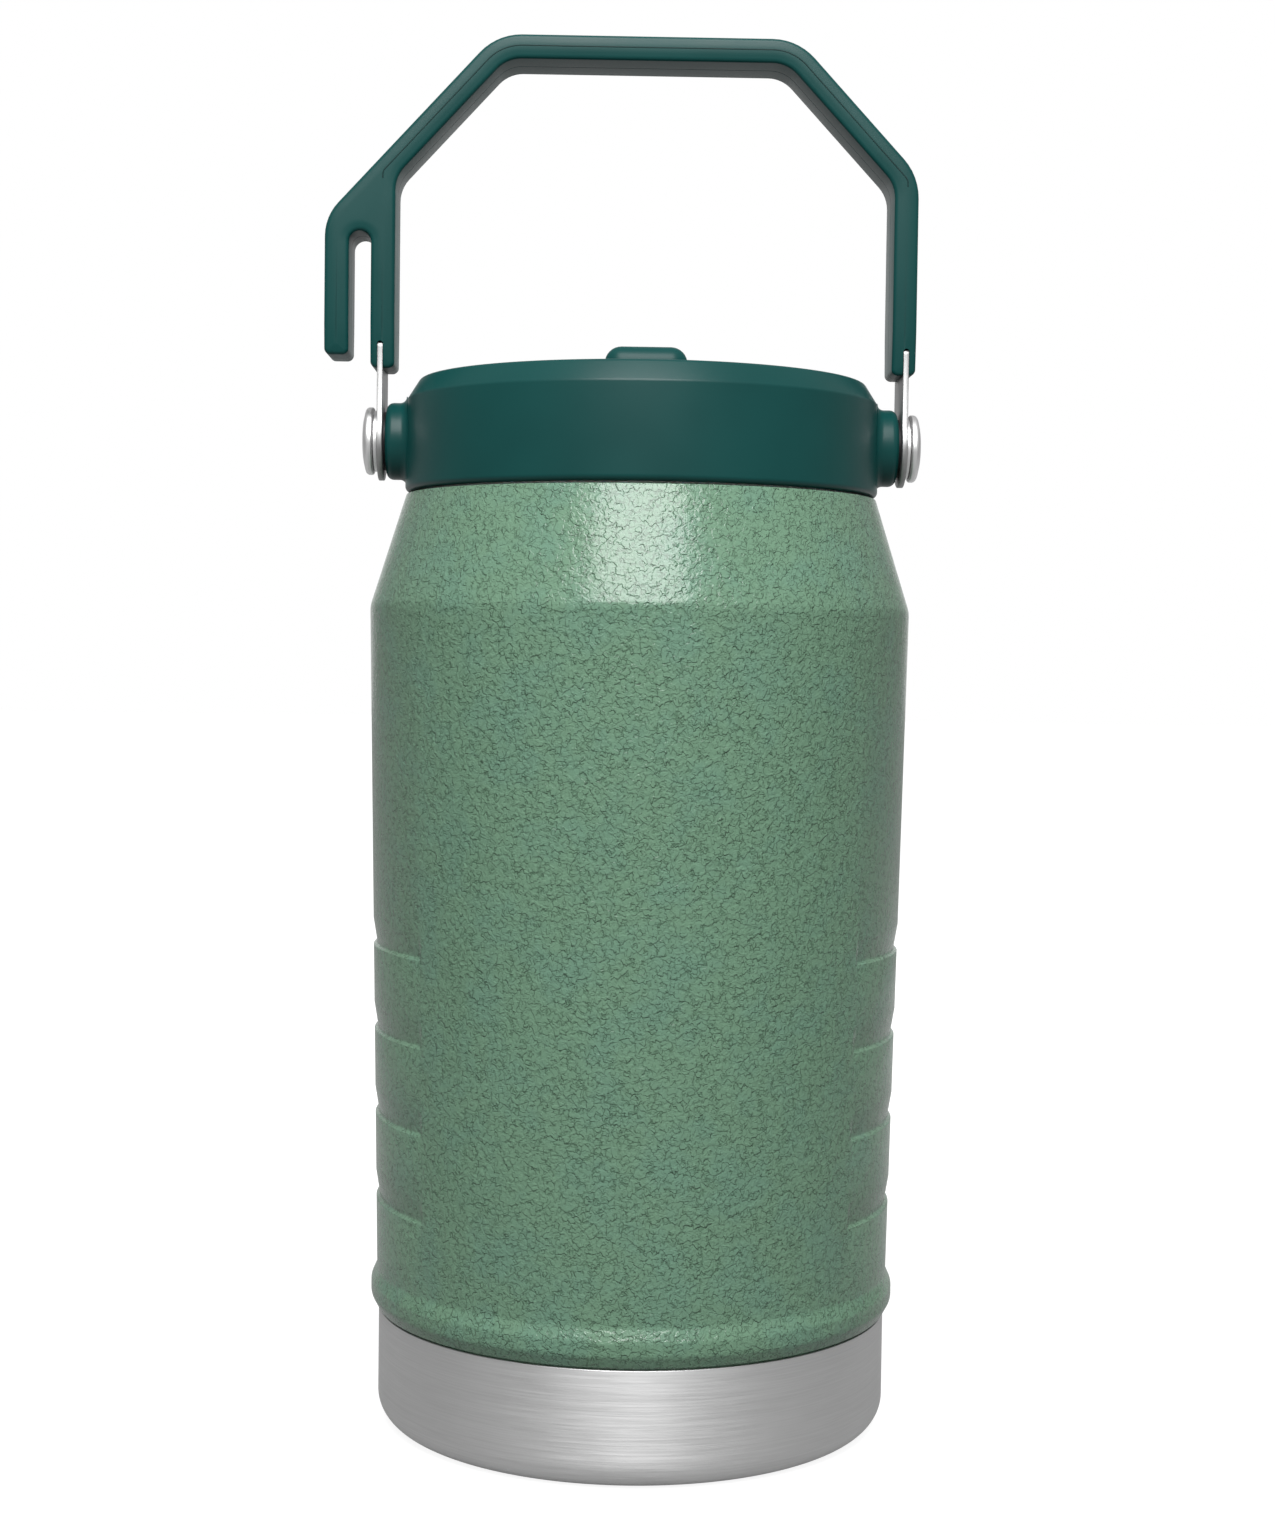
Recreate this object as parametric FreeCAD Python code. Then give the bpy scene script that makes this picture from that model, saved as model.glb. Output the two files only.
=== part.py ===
"""Vacuum-insulated drinking jug with a screw lid, a flip-up straw spout and a swinging bail.

Frame: millimetres, +Z up. The origin is the centre of the standing ring under the base.
X runs along the bail's pivot axis, with the fence hook on the -X side. The spout's tip points to -Y.
"""
import FreeCAD, Part
import math
import os

V = FreeCAD.Vector
X_AXIS, Y_AXIS, Z_AXIS = V(1, 0, 0), V(0, 1, 0), V(0, 0, 1)
ORIGIN = V(0, 0, 0)

# --- Fits -------------------------------------------------------------------------------------
SEAT = 0.05             # gap between two pieces that are pressed, welded or screwed together
PIVOT_FIT = 0.05        # radial running clearance of a pin or screw in its hole
SIDE_PLAY = 0.06        # axial play between faces that turn past each other
MOVING_GAP = 0.3        # gap between other faces that move past each other

# --- Base cup and floor -----------------------------------------------------------------------
BASE_R = 58.0           # outer radius of the bare steel cup
BASE_HEIGHT = 26.0      # height of its upper edge, where the paint begins
CUP_WALL = 0.7
FOOT_RADIUS = 8.0       # rounding between the cup's wall and the standing ring
RING_WIDTH = 5.0        # flat width of the standing ring
RECESS_DEPTH = 2.5      # how far the centre of the cup is raised off the table
RECESS_ROUND = 1.2
FLOOR_Z = 8.4           # underside of the pressure floor
FLOOR_ROUND = 5.0
PORT_R = 2.0            # evacuation hole in the floor
SEAL_R = 4.5            # solder button that closes it
SEAL_HEIGHT = 1.2

# --- Painted outer shell ----------------------------------------------------------------------
SHELL_WALL = 0.6
SEAM_GAP = 0.3          # open groove between the cup's edge and the painted bead
PAINT_STEP = 0.3        # how far the painted wall stands out past the bare cup
SPIGOT_DEPTH = 6.0      # how far the shell's spigot reaches down inside the cup
BODY_HEIGHT = 159.3     # from the seam to the shoulder crease
TAPER = 3.0             # growth in radius from the seam to the shoulder
SHOULDER_ROUND = 7.0
CONE_HEIGHT = 25.3      # from the shoulder crease to the rim
CONE_DRAW = 7.95        # loss in radius from the shoulder to the rim
BEAD_OUT = 1.45         # how far the bead at the seam stands out
BEAD_RAMP = 2.9         # height of each flank of the bead
BEAD_FLAT = 3.0         # height of its crown
BEAD_ROUND = 2.6
GROOVE_COUNT = 4        # grip grooves one above the other on each side
GROOVE_PITCH = 19.2
GROOVE_FIRST = 25.0     # lowest ledge, above the seam
GROOVE_HEIGHT = 6.2
GROOVE_DEPTH = 0.8
LEDGE_RISE = 0.7        # height of the ledge that brings the wall back out
GROOVE_ARC = 77.4       # degrees around the body, centred on the X axis

# --- Inner liner ------------------------------------------------------------------------------
LINER_WALL = 0.6
VACUUM_GAP = 1.8        # between the shell's inside and the liner, at the seam
LINER_FLOOR_GAP = 3.4   # between the pressure floor and the liner's bottom
LINER_BOTTOM_ROUND = 14.0
LINER_WELD_Z = 32.0     # where the liner's wall is welded to its bottom
LINER_CONE_HEIGHT = 11.0
LINER_CONE_ROUND = 6.0
RIM_LAND = 5.35         # width of the rim around the neck's bore, which carries the lid's gasket
NECK_HEIGHT = 14.6
GETTER_R = 6.0
GETTER_HEIGHT = 2.0

# --- Lid thread -------------------------------------------------------------------------------
THREAD_PITCH = 6.0
THREAD_TURNS = 1.5
THREAD_DEPTH = 1.3      # height of each ridge
THREAD_ROOT = 1.8       # width of a ridge at its foot
THREAD_CREST = 1.0
THREAD_PLAY = 0.3       # axial gap between the ridges when the lid is tight
THREAD_CLEAR = 0.45     # radial gap between a crest and the wall that faces it
THREAD_TOP = 2.4        # from the top of the neck's ridge to the rim
THREAD_EMBED = 0.3      # how deep a ridge is rooted in its wall

# --- Lid --------------------------------------------------------------------------------------
LID_OVERHANG = 0.35     # how far the lid stands out past the rim
LID_GAP = 0.5           # open line between the rim and the lid's skirt
LID_WALL_HEIGHT = 20.8
LID_DRAFT = 0.3         # loss in radius up the lid's wall
LID_CHAMFER_HEIGHT = 4.6
LID_CHAMFER_IN = 2.9
LID_CHAMFER_ROUND = 1.2
LID_SKIRT_ROUND = 1.6
LID_WALL = 2.4
PLUG_FLANGE = 2.5
PLUG_WALL = 2.4
PLUG_DEPTH = 17.5       # from the flange down to the plug's underside
GASKET_HEIGHT = 2.0
GASKET_WIDTH = 3.6

# --- Bail pivots ------------------------------------------------------------------------------
PIVOT_UP = 11.7         # above the lid's lower edge
BOSS_R = 8.7
BOSS_OUT = 4.3          # how far the boss stands out of the lid's wall
BOSS_ROUND = 1.6
COLLAR_R = 9.1          # wider ring at the foot of the boss
COLLAR_OUT = 1.1
BOSS_INSIDE_R = 7.0
BUSH_R = 4.6
BUSH_LENGTH = 8.6
SHANK_R = 3.0           # shank of the pivot screw
HEAD_R = 7.65
HEAD_HEIGHT = 2.4
HEAD_ROUND = 1.15
INNER_WASHER_R = 6.6
INNER_WASHER = 0.45
OUTER_WASHER_R = 6.9
OUTER_WASHER = 0.9

# --- Bail -------------------------------------------------------------------------------------
STRAP_THICK = 1.25
STRAP_WIDTH = 15.6
STRAP_CORE_WIDTH = 10.4     # width of the strap where the grip covers it
STRAP_SHOW = 21.8           # from the pivot to where the strap is lost inside the grip
EYE_R = 8.9
GRIP_DEPTH = 16.6
GRIP_THICK = 5.4
GRIP_EDGE = 1.0             # rounding of the grip's long edges
GRIP_INSIDE = 2.55          # from the grip's inner face to the strap
GRIP_START = 15.9           # from the pivot to the lower end of the limbs
LIMB_END_ROUND = 1.4
BAIL_HEIGHT = 90.4          # from the pivot to the top of the bar
BAIL_KNEE = 60.5            # from the pivot to where the limb's outer face begins to slope
BAR_HALF = 33.7             # half the length of the straight top bar, to the outer corners
ARCH_ROUND = 13.0           # outer rounding of the arch's corners
HOOK_SLOT = 4.95            # width of the fence hook's slot
HOOK_TOP = 46.3             # from the pivot to the top of the slot
HOOK_START = 18.7           # from the pivot to the prong's lower end
HOOK_CORNER = 11.0

# --- Flip-up spout ----------------------------------------------------------------------------
SPOUT_WIDTH = 17.8
SPOUT_PROUD = 4.5           # height of the closed lever above the lid
SPOUT_REACH = 51.0          # from the hinge to the tip
SPOUT_ROUND = 3.6           # rounding of the lever's long top edges
BARREL_R = 6.7
HINGE_Y = 14.0
SPOUT_BORE_R = 3.0
TROUGH_SIDE = 0.6           # gap on each side of the lever
TROUGH_WALL = 3.0
FINGER_GAP = 5.5            # from the tip to the end of the trough
PIN_R = 1.5
PIN_IN_BARREL = 3.5
PIN_IN_WALL = 2.4
PORT_SEAL_R = 5.6
PORT_SEAL_HEIGHT = 2.4
PORT_TUBE_WALL = 2.0
VENT_HOLE_R = 1.0
VENT_Y = -22.0
VALVE_R = 2.6
VALVE_CAP_R = 4.4
VALVE_CAP = 1.0
VALVE_REACH = 5.0

# --- Straw ------------------------------------------------------------------------------------
STRAW_R = 4.0
STRAW_WALL = 0.8
STRAW_GRIP = 8.0            # length of straw held in the sleeve
STRAW_LIFT = 4.0            # from the liner's bottom to the straw's lower end
SLEEVE_WALL = 1.6

# --- Worked out from the above ----------------------------------------------------------------
SHELL_R = BASE_R + PAINT_STEP
SHOULDER_R = SHELL_R + TAPER
SHOULDER_Z = BASE_HEIGHT + BODY_HEIGHT
RIM_Z = SHOULDER_Z + CONE_HEIGHT
RIM_R = SHOULDER_R - CONE_DRAW
NECK_R = RIM_R - RIM_LAND
SPIGOT_R = BASE_R - CUP_WALL - SEAT
FLOOR_R = SPIGOT_R - SHELL_WALL - SEAT
LINER_R = SHELL_R - SHELL_WALL - VACUUM_GAP
LINER_Z = FLOOR_Z + SHELL_WALL + LINER_FLOOR_GAP
NECK_Z = RIM_Z - NECK_HEIGHT
RIM_INSIDE_R = RIM_R - SHELL_WALL * math.hypot(CONE_DRAW, CONE_HEIGHT) / CONE_HEIGHT - SEAT

PLUG_R = NECK_R - THREAD_DEPTH - THREAD_CLEAR
THREAD_Z = RIM_Z - THREAD_TOP - THREAD_PITCH * THREAD_TURNS - THREAD_ROOT / 2
PLUG_THREAD_Z = THREAD_Z - THREAD_ROOT - THREAD_PLAY
PLUG_THREAD_DEPTH = NECK_R - THREAD_CLEAR - PLUG_R

LID_R = RIM_R + LID_OVERHANG
LID_Z = RIM_Z + LID_GAP
LID_SHOULDER_Z = LID_Z + LID_WALL_HEIGHT
LID_TOP_Z = LID_SHOULDER_Z + LID_CHAMFER_HEIGHT
LID_SHOULDER_R = LID_R - LID_DRAFT
LID_TOP_R = LID_SHOULDER_R - LID_CHAMFER_IN
LID_INSIDE_R = LID_SHOULDER_R - LID_WALL
FLANGE_Z = RIM_Z + GASKET_HEIGHT + 2 * SEAT
PLUG_Z = FLANGE_Z - PLUG_DEPTH

PIVOT_Z = LID_Z + PIVOT_UP
BOSS_X = LID_R + BOSS_OUT
STRAP_X = BOSS_X + INNER_WASHER + SEAT + SIDE_PLAY
HEAD_X = STRAP_X + STRAP_THICK + SIDE_PLAY + OUTER_WASHER + 2 * SEAT
GRIP_X = STRAP_X - GRIP_INSIDE
GRIP_OUT_X = GRIP_X + GRIP_THICK
BAIL_TOP_Z = PIVOT_Z + BAIL_HEIGHT
KNEE_Z = PIVOT_Z + BAIL_KNEE
HOOK_X = GRIP_OUT_X + HOOK_SLOT + GRIP_THICK

SPOUT_TOP_Z = LID_TOP_Z + SPOUT_PROUD
HINGE_Z = SPOUT_TOP_Z - BARREL_R
TROUGH_Z = HINGE_Z - BARREL_R - MOVING_GAP
TROUGH_HALF = SPOUT_WIDTH / 2 + TROUGH_SIDE
TROUGH_FRONT = HINGE_Y - SPOUT_REACH - FINGER_GAP
TROUGH_BACK = HINGE_Y + BARREL_R + SPOUT_ROUND
SLEEVE_R = STRAW_R + SEAT + SLEEVE_WALL
SPIGOT_TUBE_R = SLEEVE_R + SEAT + PORT_TUBE_WALL
STRAW_TOP_Z = PLUG_Z + PLUG_WALL / 2


def outline(corners, plane="xz", at=0.0):
    """Closed face through (u, v) or (u, v, radius) corners; a radius rounds its corner with an arc."""
    at_plane = {
        "xz": lambda p: V(p.x, at, p.y),
        "yz": lambda p: V(at, p.x, p.y),
        "xy": lambda p: V(p.x, p.y, at)}[plane]
    points = [V(c[0], c[1], 0) for c in corners]
    radii = [c[2] if len(c) > 2 else 0.0 for c in corners]
    count = len(corners)
    starts, mids, ends = [], [], []
    for i, corner in enumerate(points):
        to_prev, to_next = points[i - 1] - corner, points[(i + 1) % count] - corner
        half = to_prev.getAngle(to_next) / 2
        reach = radii[i] / math.tan(half) if radii[i] else 0.0
        reach = min(reach, 0.49 * to_prev.Length, 0.49 * to_next.Length)
        to_prev.normalize()
        to_next.normalize()
        starts.append(corner + to_prev * reach)
        ends.append(corner + to_next * reach)
        if reach:
            middle = (to_prev + to_next).normalize()
            mids.append(corner + middle * (reach / math.cos(half) - reach * math.tan(half)))
        else:
            mids.append(None)
    edges = []
    for i in range(count):
        if mids[i]:
            edges.append(Part.Arc(at_plane(starts[i]), at_plane(mids[i]), at_plane(ends[i])).toShape())
        after = starts[(i + 1) % count]
        if (after - ends[i]).Length > 1e-7:
            edges.append(Part.LineSegment(at_plane(ends[i]), at_plane(after)).toShape())
    return Part.Face(Part.Wire(edges))


def turned(corners):
    """Solid of revolution about the jug's axis, from (radius, height) corners."""
    return outline(corners).revolve(ORIGIN, Z_AXIS, 360)


def turned_on_pivot(corners, side):
    """Solid of revolution about the bail's pivot axis, from (distance out, radius) corners, on one side."""
    face = outline([(side * c[0], PIVOT_Z + c[1], *c[2:]) for c in corners])
    return face.revolve(V(0, 0, PIVOT_Z), X_AXIS, 360)


def pivot_cylinder(radius, start, end, side):
    """Cylinder on the bail's pivot axis between two distances out, on one side."""
    return Part.makeCylinder(radius, end - start, V(side * start, 0, PIVOT_Z), V(side, 0, 0))


def pivot_ring(outer_r, inner_r, start, end, side):
    """Ring on the bail's pivot axis between two distances out, on one side."""
    return pivot_cylinder(outer_r, start, end, side).cut(pivot_cylinder(inner_r, start, end, side))


def tube(outer_r, inner_r, z_low, z_high, x=0.0, y=0.0):
    """Upright tube."""
    ring = Part.makeCylinder(outer_r, z_high - z_low, V(x, y, z_low))
    return ring.cut(Part.makeCylinder(inner_r, z_high - z_low, V(x, y, z_low)))


def prism(face, depth):
    """Extrude a face that lies in an XZ plane along +Y."""
    return face.extrude(V(0, depth, 0))


def shell_radius(z):
    """Outer radius of the painted wall between the seam and the shoulder."""
    return SHELL_R + TAPER * (z - BASE_HEIGHT) / BODY_HEIGHT


# --- Insulated body ---------------------------------------------------------------------------
def base_cup():
    inside_r = BASE_R - CUP_WALL
    recess_r = BASE_R - FOOT_RADIUS - RING_WIDTH
    raised = RECESS_DEPTH + CUP_WALL
    ring_r = recess_r + RECESS_DEPTH / 2
    return turned([
        (0, RECESS_DEPTH), (recess_r, RECESS_DEPTH, RECESS_ROUND), (ring_r, 0, RECESS_ROUND),
        (BASE_R, 0, FOOT_RADIUS), (BASE_R, BASE_HEIGHT), (inside_r, BASE_HEIGHT),
        (inside_r, CUP_WALL, FOOT_RADIUS - CUP_WALL), (ring_r + CUP_WALL / 2, CUP_WALL),
        (recess_r + CUP_WALL / 2, raised, RECESS_ROUND), (0, raised)])


def shell_floor():
    top = BASE_HEIGHT - SPIGOT_DEPTH / 2
    dish = turned([
        (0, FLOOR_Z), (FLOOR_R, FLOOR_Z, FLOOR_ROUND), (FLOOR_R, top), (FLOOR_R - SHELL_WALL, top),
        (FLOOR_R - SHELL_WALL, FLOOR_Z + SHELL_WALL, FLOOR_ROUND - SHELL_WALL), (0, FLOOR_Z + SHELL_WALL)])
    return dish.cut(Part.makeCylinder(PORT_R, SHELL_WALL, V(0, 0, FLOOR_Z)))


def vacuum_seal():
    top = FLOOR_Z - SEAT
    low = top - SEAL_HEIGHT
    button = turned([(0, low), (SEAL_R, low, SEAL_HEIGHT / 2), (SEAL_R, top), (0, top)])
    return button.fuse(Part.makeCylinder(PORT_R - SEAT, SHELL_WALL + SEAT, V(0, 0, top)))


def groove_cutter(ledge_z, inset, spread):
    """Both sides' cutters for one grip groove; inset moves the cut inwards to leave a wall of that size."""
    top_z, lip_z = ledge_z + GROOVE_HEIGHT, ledge_z + LEDGE_RISE
    beyond = shell_radius(top_z) + GROOVE_DEPTH
    face = outline([
        (beyond, ledge_z - inset / 2), (shell_radius(ledge_z) - inset, ledge_z - inset / 2),
        (shell_radius(lip_z) - GROOVE_DEPTH - inset, lip_z - inset / 2, LEDGE_RISE / 2),
        (shell_radius(top_z) - inset, top_z), (beyond, top_z)])
    arc = GROOVE_ARC + 2 * spread
    sides = []
    for middle in (0, 180):
        sector = face.revolve(ORIGIN, Z_AXIS, arc)
        sector.rotate(ORIGIN, Z_AXIS, middle - arc / 2)
        sides.append(sector)
    return sides


def body_outline(inset):
    """Corners of the painted wall from the seam up to the rim, moved inwards by inset."""
    bead_z = BASE_HEIGHT + SEAM_GAP
    bead_r = shell_radius(bead_z) + BEAD_OUT
    crown_z = bead_z + BEAD_RAMP
    slant = math.hypot(CONE_DRAW, CONE_HEIGHT) / CONE_HEIGHT
    return [
        (bead_r - inset, crown_z, BEAD_ROUND), (bead_r - inset, crown_z + BEAD_FLAT, BEAD_ROUND),
        (shell_radius(crown_z + BEAD_FLAT + BEAD_RAMP) - inset, crown_z + BEAD_FLAT + BEAD_RAMP, BEAD_ROUND),
        (SHOULDER_R - inset, SHOULDER_Z, SHOULDER_ROUND), (RIM_R - inset * slant, RIM_Z)]


def outer_shell():
    bead_z = BASE_HEIGHT + SEAM_GAP
    spigot_z = BASE_HEIGHT - SPIGOT_DEPTH
    spigot_inside_r = SPIGOT_R - SHELL_WALL
    outside = turned([(0, spigot_z), (SPIGOT_R, spigot_z), (SPIGOT_R, bead_z), (SHELL_R, bead_z)]
                     + body_outline(0.0) + [(0, RIM_Z)])
    inside = turned([(0, spigot_z), (spigot_inside_r, spigot_z), (spigot_inside_r, bead_z + SHELL_WALL)]
                    + body_outline(SHELL_WALL) + [(0, RIM_Z)])
    skin_turn = math.degrees(SHELL_WALL / SHELL_R)
    for i in range(GROOVE_COUNT):
        ledge_z = BASE_HEIGHT + GROOVE_FIRST + i * GROOVE_PITCH
        outside = outside.cut(groove_cutter(ledge_z, 0.0, 0.0))
        inside = inside.cut(groove_cutter(ledge_z, SHELL_WALL, skin_turn))
    return outside.cut(inside)


def thread_ridge(wall_r, height, z_start):
    """Helical ridge on a wall, standing out by height; a negative height points it inwards."""
    foot_r = wall_r - math.copysign(THREAD_EMBED, height)
    helix = Part.makeHelix(THREAD_PITCH, THREAD_PITCH * THREAD_TURNS, wall_r)
    helix.translate(V(0, 0, z_start))
    section = Part.makePolygon([
        V(foot_r, 0, z_start - THREAD_ROOT / 2), V(foot_r, 0, z_start + THREAD_ROOT / 2),
        V(wall_r + height, 0, z_start + THREAD_CREST / 2), V(wall_r + height, 0, z_start - THREAD_CREST / 2),
        V(foot_r, 0, z_start - THREAD_ROOT / 2)])
    return Part.Wire(helix).makePipeShell([section], True, True)


def inner_liner():
    outside_r = LINER_R
    inside_r = LINER_R - LINER_WALL
    neck_out_r = NECK_R + LINER_WALL
    cone_z = NECK_Z - LINER_CONE_HEIGHT
    weld_z = LINER_WELD_Z + SEAT
    wall = turned([
        (inside_r, weld_z), (outside_r, weld_z), (outside_r, cone_z, LINER_CONE_ROUND),
        (neck_out_r, NECK_Z, LINER_CONE_ROUND), (neck_out_r, RIM_Z - LINER_WALL),
        (RIM_INSIDE_R, RIM_Z - LINER_WALL), (RIM_INSIDE_R, RIM_Z), (NECK_R, RIM_Z, LINER_WALL),
        (NECK_R, NECK_Z, LINER_CONE_ROUND), (inside_r, cone_z, LINER_CONE_ROUND)])
    return wall.fuse(thread_ridge(NECK_R, -THREAD_DEPTH, THREAD_Z))


def liner_bottom():
    inside_r = LINER_R - LINER_WALL
    inner_round = LINER_BOTTOM_ROUND - LINER_WALL
    return turned([
        (0, LINER_Z), (LINER_R, LINER_Z, LINER_BOTTOM_ROUND), (LINER_R, LINER_WELD_Z),
        (inside_r, LINER_WELD_Z), (inside_r, LINER_Z + LINER_WALL, inner_round), (0, LINER_Z + LINER_WALL)])


def getter():
    top = LINER_Z - SEAT
    low = top - GETTER_HEIGHT
    return turned([(0, low), (GETTER_R, low, GETTER_HEIGHT / 4), (GETTER_R, top), (0, top)])


# --- Lid --------------------------------------------------------------------------------------
def trough_block(grow):
    """Block the size of the spout's trough, larger by grow on its sides, ends and floor."""
    half = TROUGH_HALF + grow
    front, back = TROUGH_FRONT - grow, TROUGH_BACK + grow
    round_r = SPOUT_ROUND + grow
    corners = [(-half, front), (half, front), (half, back), (-half, back)]
    face = outline([(*c, round_r) for c in corners], "xy", TROUGH_Z - grow)
    return face.extrude(V(0, 0, SPOUT_TOP_Z - TROUGH_Z + grow))


def lid_shell():
    ceiling_z = LID_TOP_Z - LID_WALL
    outside = turned([
        (0, LID_Z), (LID_R, LID_Z, LID_SKIRT_ROUND), (LID_SHOULDER_R, LID_SHOULDER_Z, LID_CHAMFER_ROUND),
        (LID_TOP_R, LID_TOP_Z, LID_CHAMFER_ROUND), (0, LID_TOP_Z)])
    root_x = LID_INSIDE_R - LID_WALL
    collar_x = LID_R + COLLAR_OUT
    boss = [(root_x, 0), (BOSS_X, 0), (BOSS_X, BOSS_R, BOSS_ROUND), (root_x, BOSS_R)]
    collar = [(root_x, 0), (collar_x, 0), (collar_x, COLLAR_R, COLLAR_OUT / 3), (root_x, COLLAR_R)]
    outside = outside.fuse([turned_on_pivot(corners, side) for corners in (boss, collar) for side in (-1, 1)])
    cavity = turned([(0, LID_Z), (LID_INSIDE_R, LID_Z), (LID_INSIDE_R, LID_SHOULDER_Z - LID_WALL / 2),
                     (LID_TOP_R - LID_WALL, ceiling_z, LID_CHAMFER_ROUND), (0, ceiling_z)])
    cavity = cavity.cut(trough_block(TROUGH_WALL))
    bush_x = BOSS_X - BUSH_LENGTH
    boss_start = bush_x - LID_WALL / 2
    cavity = cavity.cut([pivot_cylinder(BOSS_INSIDE_R, boss_start, BOSS_X, side) for side in (-1, 1)])
    shell = outside.cut(cavity).cut(trough_block(0.0))
    shell = shell.cut([pivot_cylinder(BUSH_R + SEAT, bush_x, BOSS_X, side) for side in (-1, 1)])
    shell = shell.cut([pin_cylinder(PIN_R + SEAT, TROUGH_HALF, PIN_IN_WALL + SEAT, side) for side in (-1, 1)])
    port = Part.makeCylinder(PORT_SEAL_R + SEAT, TROUGH_WALL, V(0, HINGE_Y, TROUGH_Z - TROUGH_WALL))
    vent = Part.makeCylinder(VENT_HOLE_R, TROUGH_WALL, V(0, VENT_Y, TROUGH_Z - TROUGH_WALL))
    return shell.cut([port, vent])


def pin_cylinder(radius, start, length, side):
    """Cylinder on the spout's hinge axis, from start outwards on one side."""
    return Part.makeCylinder(radius, length, V(side * start, HINGE_Y, HINGE_Z), V(side, 0, 0))


def lid_plug():
    flange_r = LID_INSIDE_R - SEAT
    inside_r = PLUG_R - PLUG_WALL
    cup = turned([
        (0, PLUG_Z), (PLUG_R, PLUG_Z, PLUG_WALL / 2), (PLUG_R, FLANGE_Z), (flange_r, FLANGE_Z),
        (flange_r, FLANGE_Z + PLUG_FLANGE), (inside_r, FLANGE_Z + PLUG_FLANGE),
        (inside_r, PLUG_Z + PLUG_WALL), (0, PLUG_Z + PLUG_WALL)])
    cup = cup.fuse(thread_ridge(PLUG_R, PLUG_THREAD_DEPTH, PLUG_THREAD_Z))
    riser_top = TROUGH_Z - TROUGH_WALL - SEAT
    riser = Part.makeCylinder(PORT_SEAL_R + PORT_TUBE_WALL, riser_top - PLUG_Z, V(0, HINGE_Y, PLUG_Z))
    socket = Part.makeCylinder(SPIGOT_TUBE_R, STRAW_GRIP + PLUG_WALL, V(0, HINGE_Y, PLUG_Z - STRAW_GRIP))
    cup = cup.fuse([riser, socket])
    flow = Part.makeCylinder(STRAW_R - STRAW_WALL, riser_top - PLUG_Z, V(0, HINGE_Y, PLUG_Z))
    sleeve_z = PLUG_Z - STRAW_GRIP
    sleeve_hole = Part.makeCylinder(SLEEVE_R + SEAT, STRAW_TOP_Z - sleeve_z, V(0, HINGE_Y, sleeve_z))
    valve_hole = Part.makeCylinder(VALVE_R + SEAT, PLUG_WALL, V(0, VENT_Y, PLUG_Z))
    return cup.cut([flow, sleeve_hole, valve_hole])


def lid_gasket():
    low = RIM_Z + SEAT
    inner_r = LID_INSIDE_R - SEAT - GASKET_WIDTH
    edge = GASKET_HEIGHT / 5
    return turned([
        (inner_r, low, edge), (inner_r + GASKET_WIDTH, low, edge),
        (inner_r + GASKET_WIDTH, low + GASKET_HEIGHT, edge), (inner_r, low + GASKET_HEIGHT, edge)])


def vent_valve():
    """Silicone valve: a cap above the plug's floor, a stem through it and a split bill below."""
    floor_top = PLUG_Z + PLUG_WALL + SEAT
    cap = Part.makeCylinder(VALVE_CAP_R, VALVE_CAP, V(0, VENT_Y, floor_top))
    stem = Part.makeCylinder(VALVE_R, floor_top - PLUG_Z + SEAT, V(0, VENT_Y, PLUG_Z - SEAT))
    bill = Part.makeCone(VALVE_R, VALVE_R / 3, VALVE_REACH, V(0, VENT_Y, PLUG_Z - SEAT), V(0, 0, -1))
    bore = Part.makeCylinder(VALVE_R / 2, floor_top + VALVE_CAP - PLUG_Z, V(0, VENT_Y, PLUG_Z))
    return cap.fuse([stem, bill]).cut(bore)


# --- Spout and straw --------------------------------------------------------------------------
def spout():
    """Flip-up lever: a barrel that turns over the port and a hollow mouthpiece lying in the trough."""
    half = SPOUT_WIDTH / 2
    tip_y = HINGE_Y - SPOUT_REACH
    under_z = TROUGH_Z + MOVING_GAP
    bottom_round = SPOUT_ROUND / 2
    section = outline([(-half, under_z, bottom_round), (half, under_z, bottom_round),
                       (half, SPOUT_TOP_Z, SPOUT_ROUND), (-half, SPOUT_TOP_Z, SPOUT_ROUND)], "xz", tip_y)
    lever = prism(section, SPOUT_REACH)
    side = outline([(tip_y, under_z + BARREL_R / 2, SPOUT_ROUND / 2), (tip_y, SPOUT_TOP_Z, SPOUT_ROUND),
                    (HINGE_Y, SPOUT_TOP_Z), (HINGE_Y, under_z), (tip_y + BARREL_R, under_z, BARREL_R / 2)],
                   "yz", -half)
    lever = lever.common(side.extrude(V(SPOUT_WIDTH, 0, 0)))
    barrel = Part.makeCylinder(BARREL_R, SPOUT_WIDTH, V(-half, HINGE_Y, HINGE_Z), X_AXIS)
    bore_length = SPOUT_REACH + BARREL_R
    bore = Part.makeCylinder(SPOUT_BORE_R, bore_length, V(0, tip_y, HINGE_Z), Y_AXIS)
    holes = [pin_cylinder(PIN_R + PIVOT_FIT, half - PIN_IN_BARREL - SIDE_PLAY, PIN_IN_BARREL + SIDE_PLAY, s)
             for s in (-1, 1)]
    return lever.fuse(barrel).cut([bore] + holes)


def spout_pins():
    """Two stub pins, one from each wall of the trough."""
    start = SPOUT_WIDTH / 2 - PIN_IN_BARREL
    length = TROUGH_HALF + PIN_IN_WALL - start
    return Part.makeCompound([pin_cylinder(PIN_R, start, length, side) for side in (-1, 1)])


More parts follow.
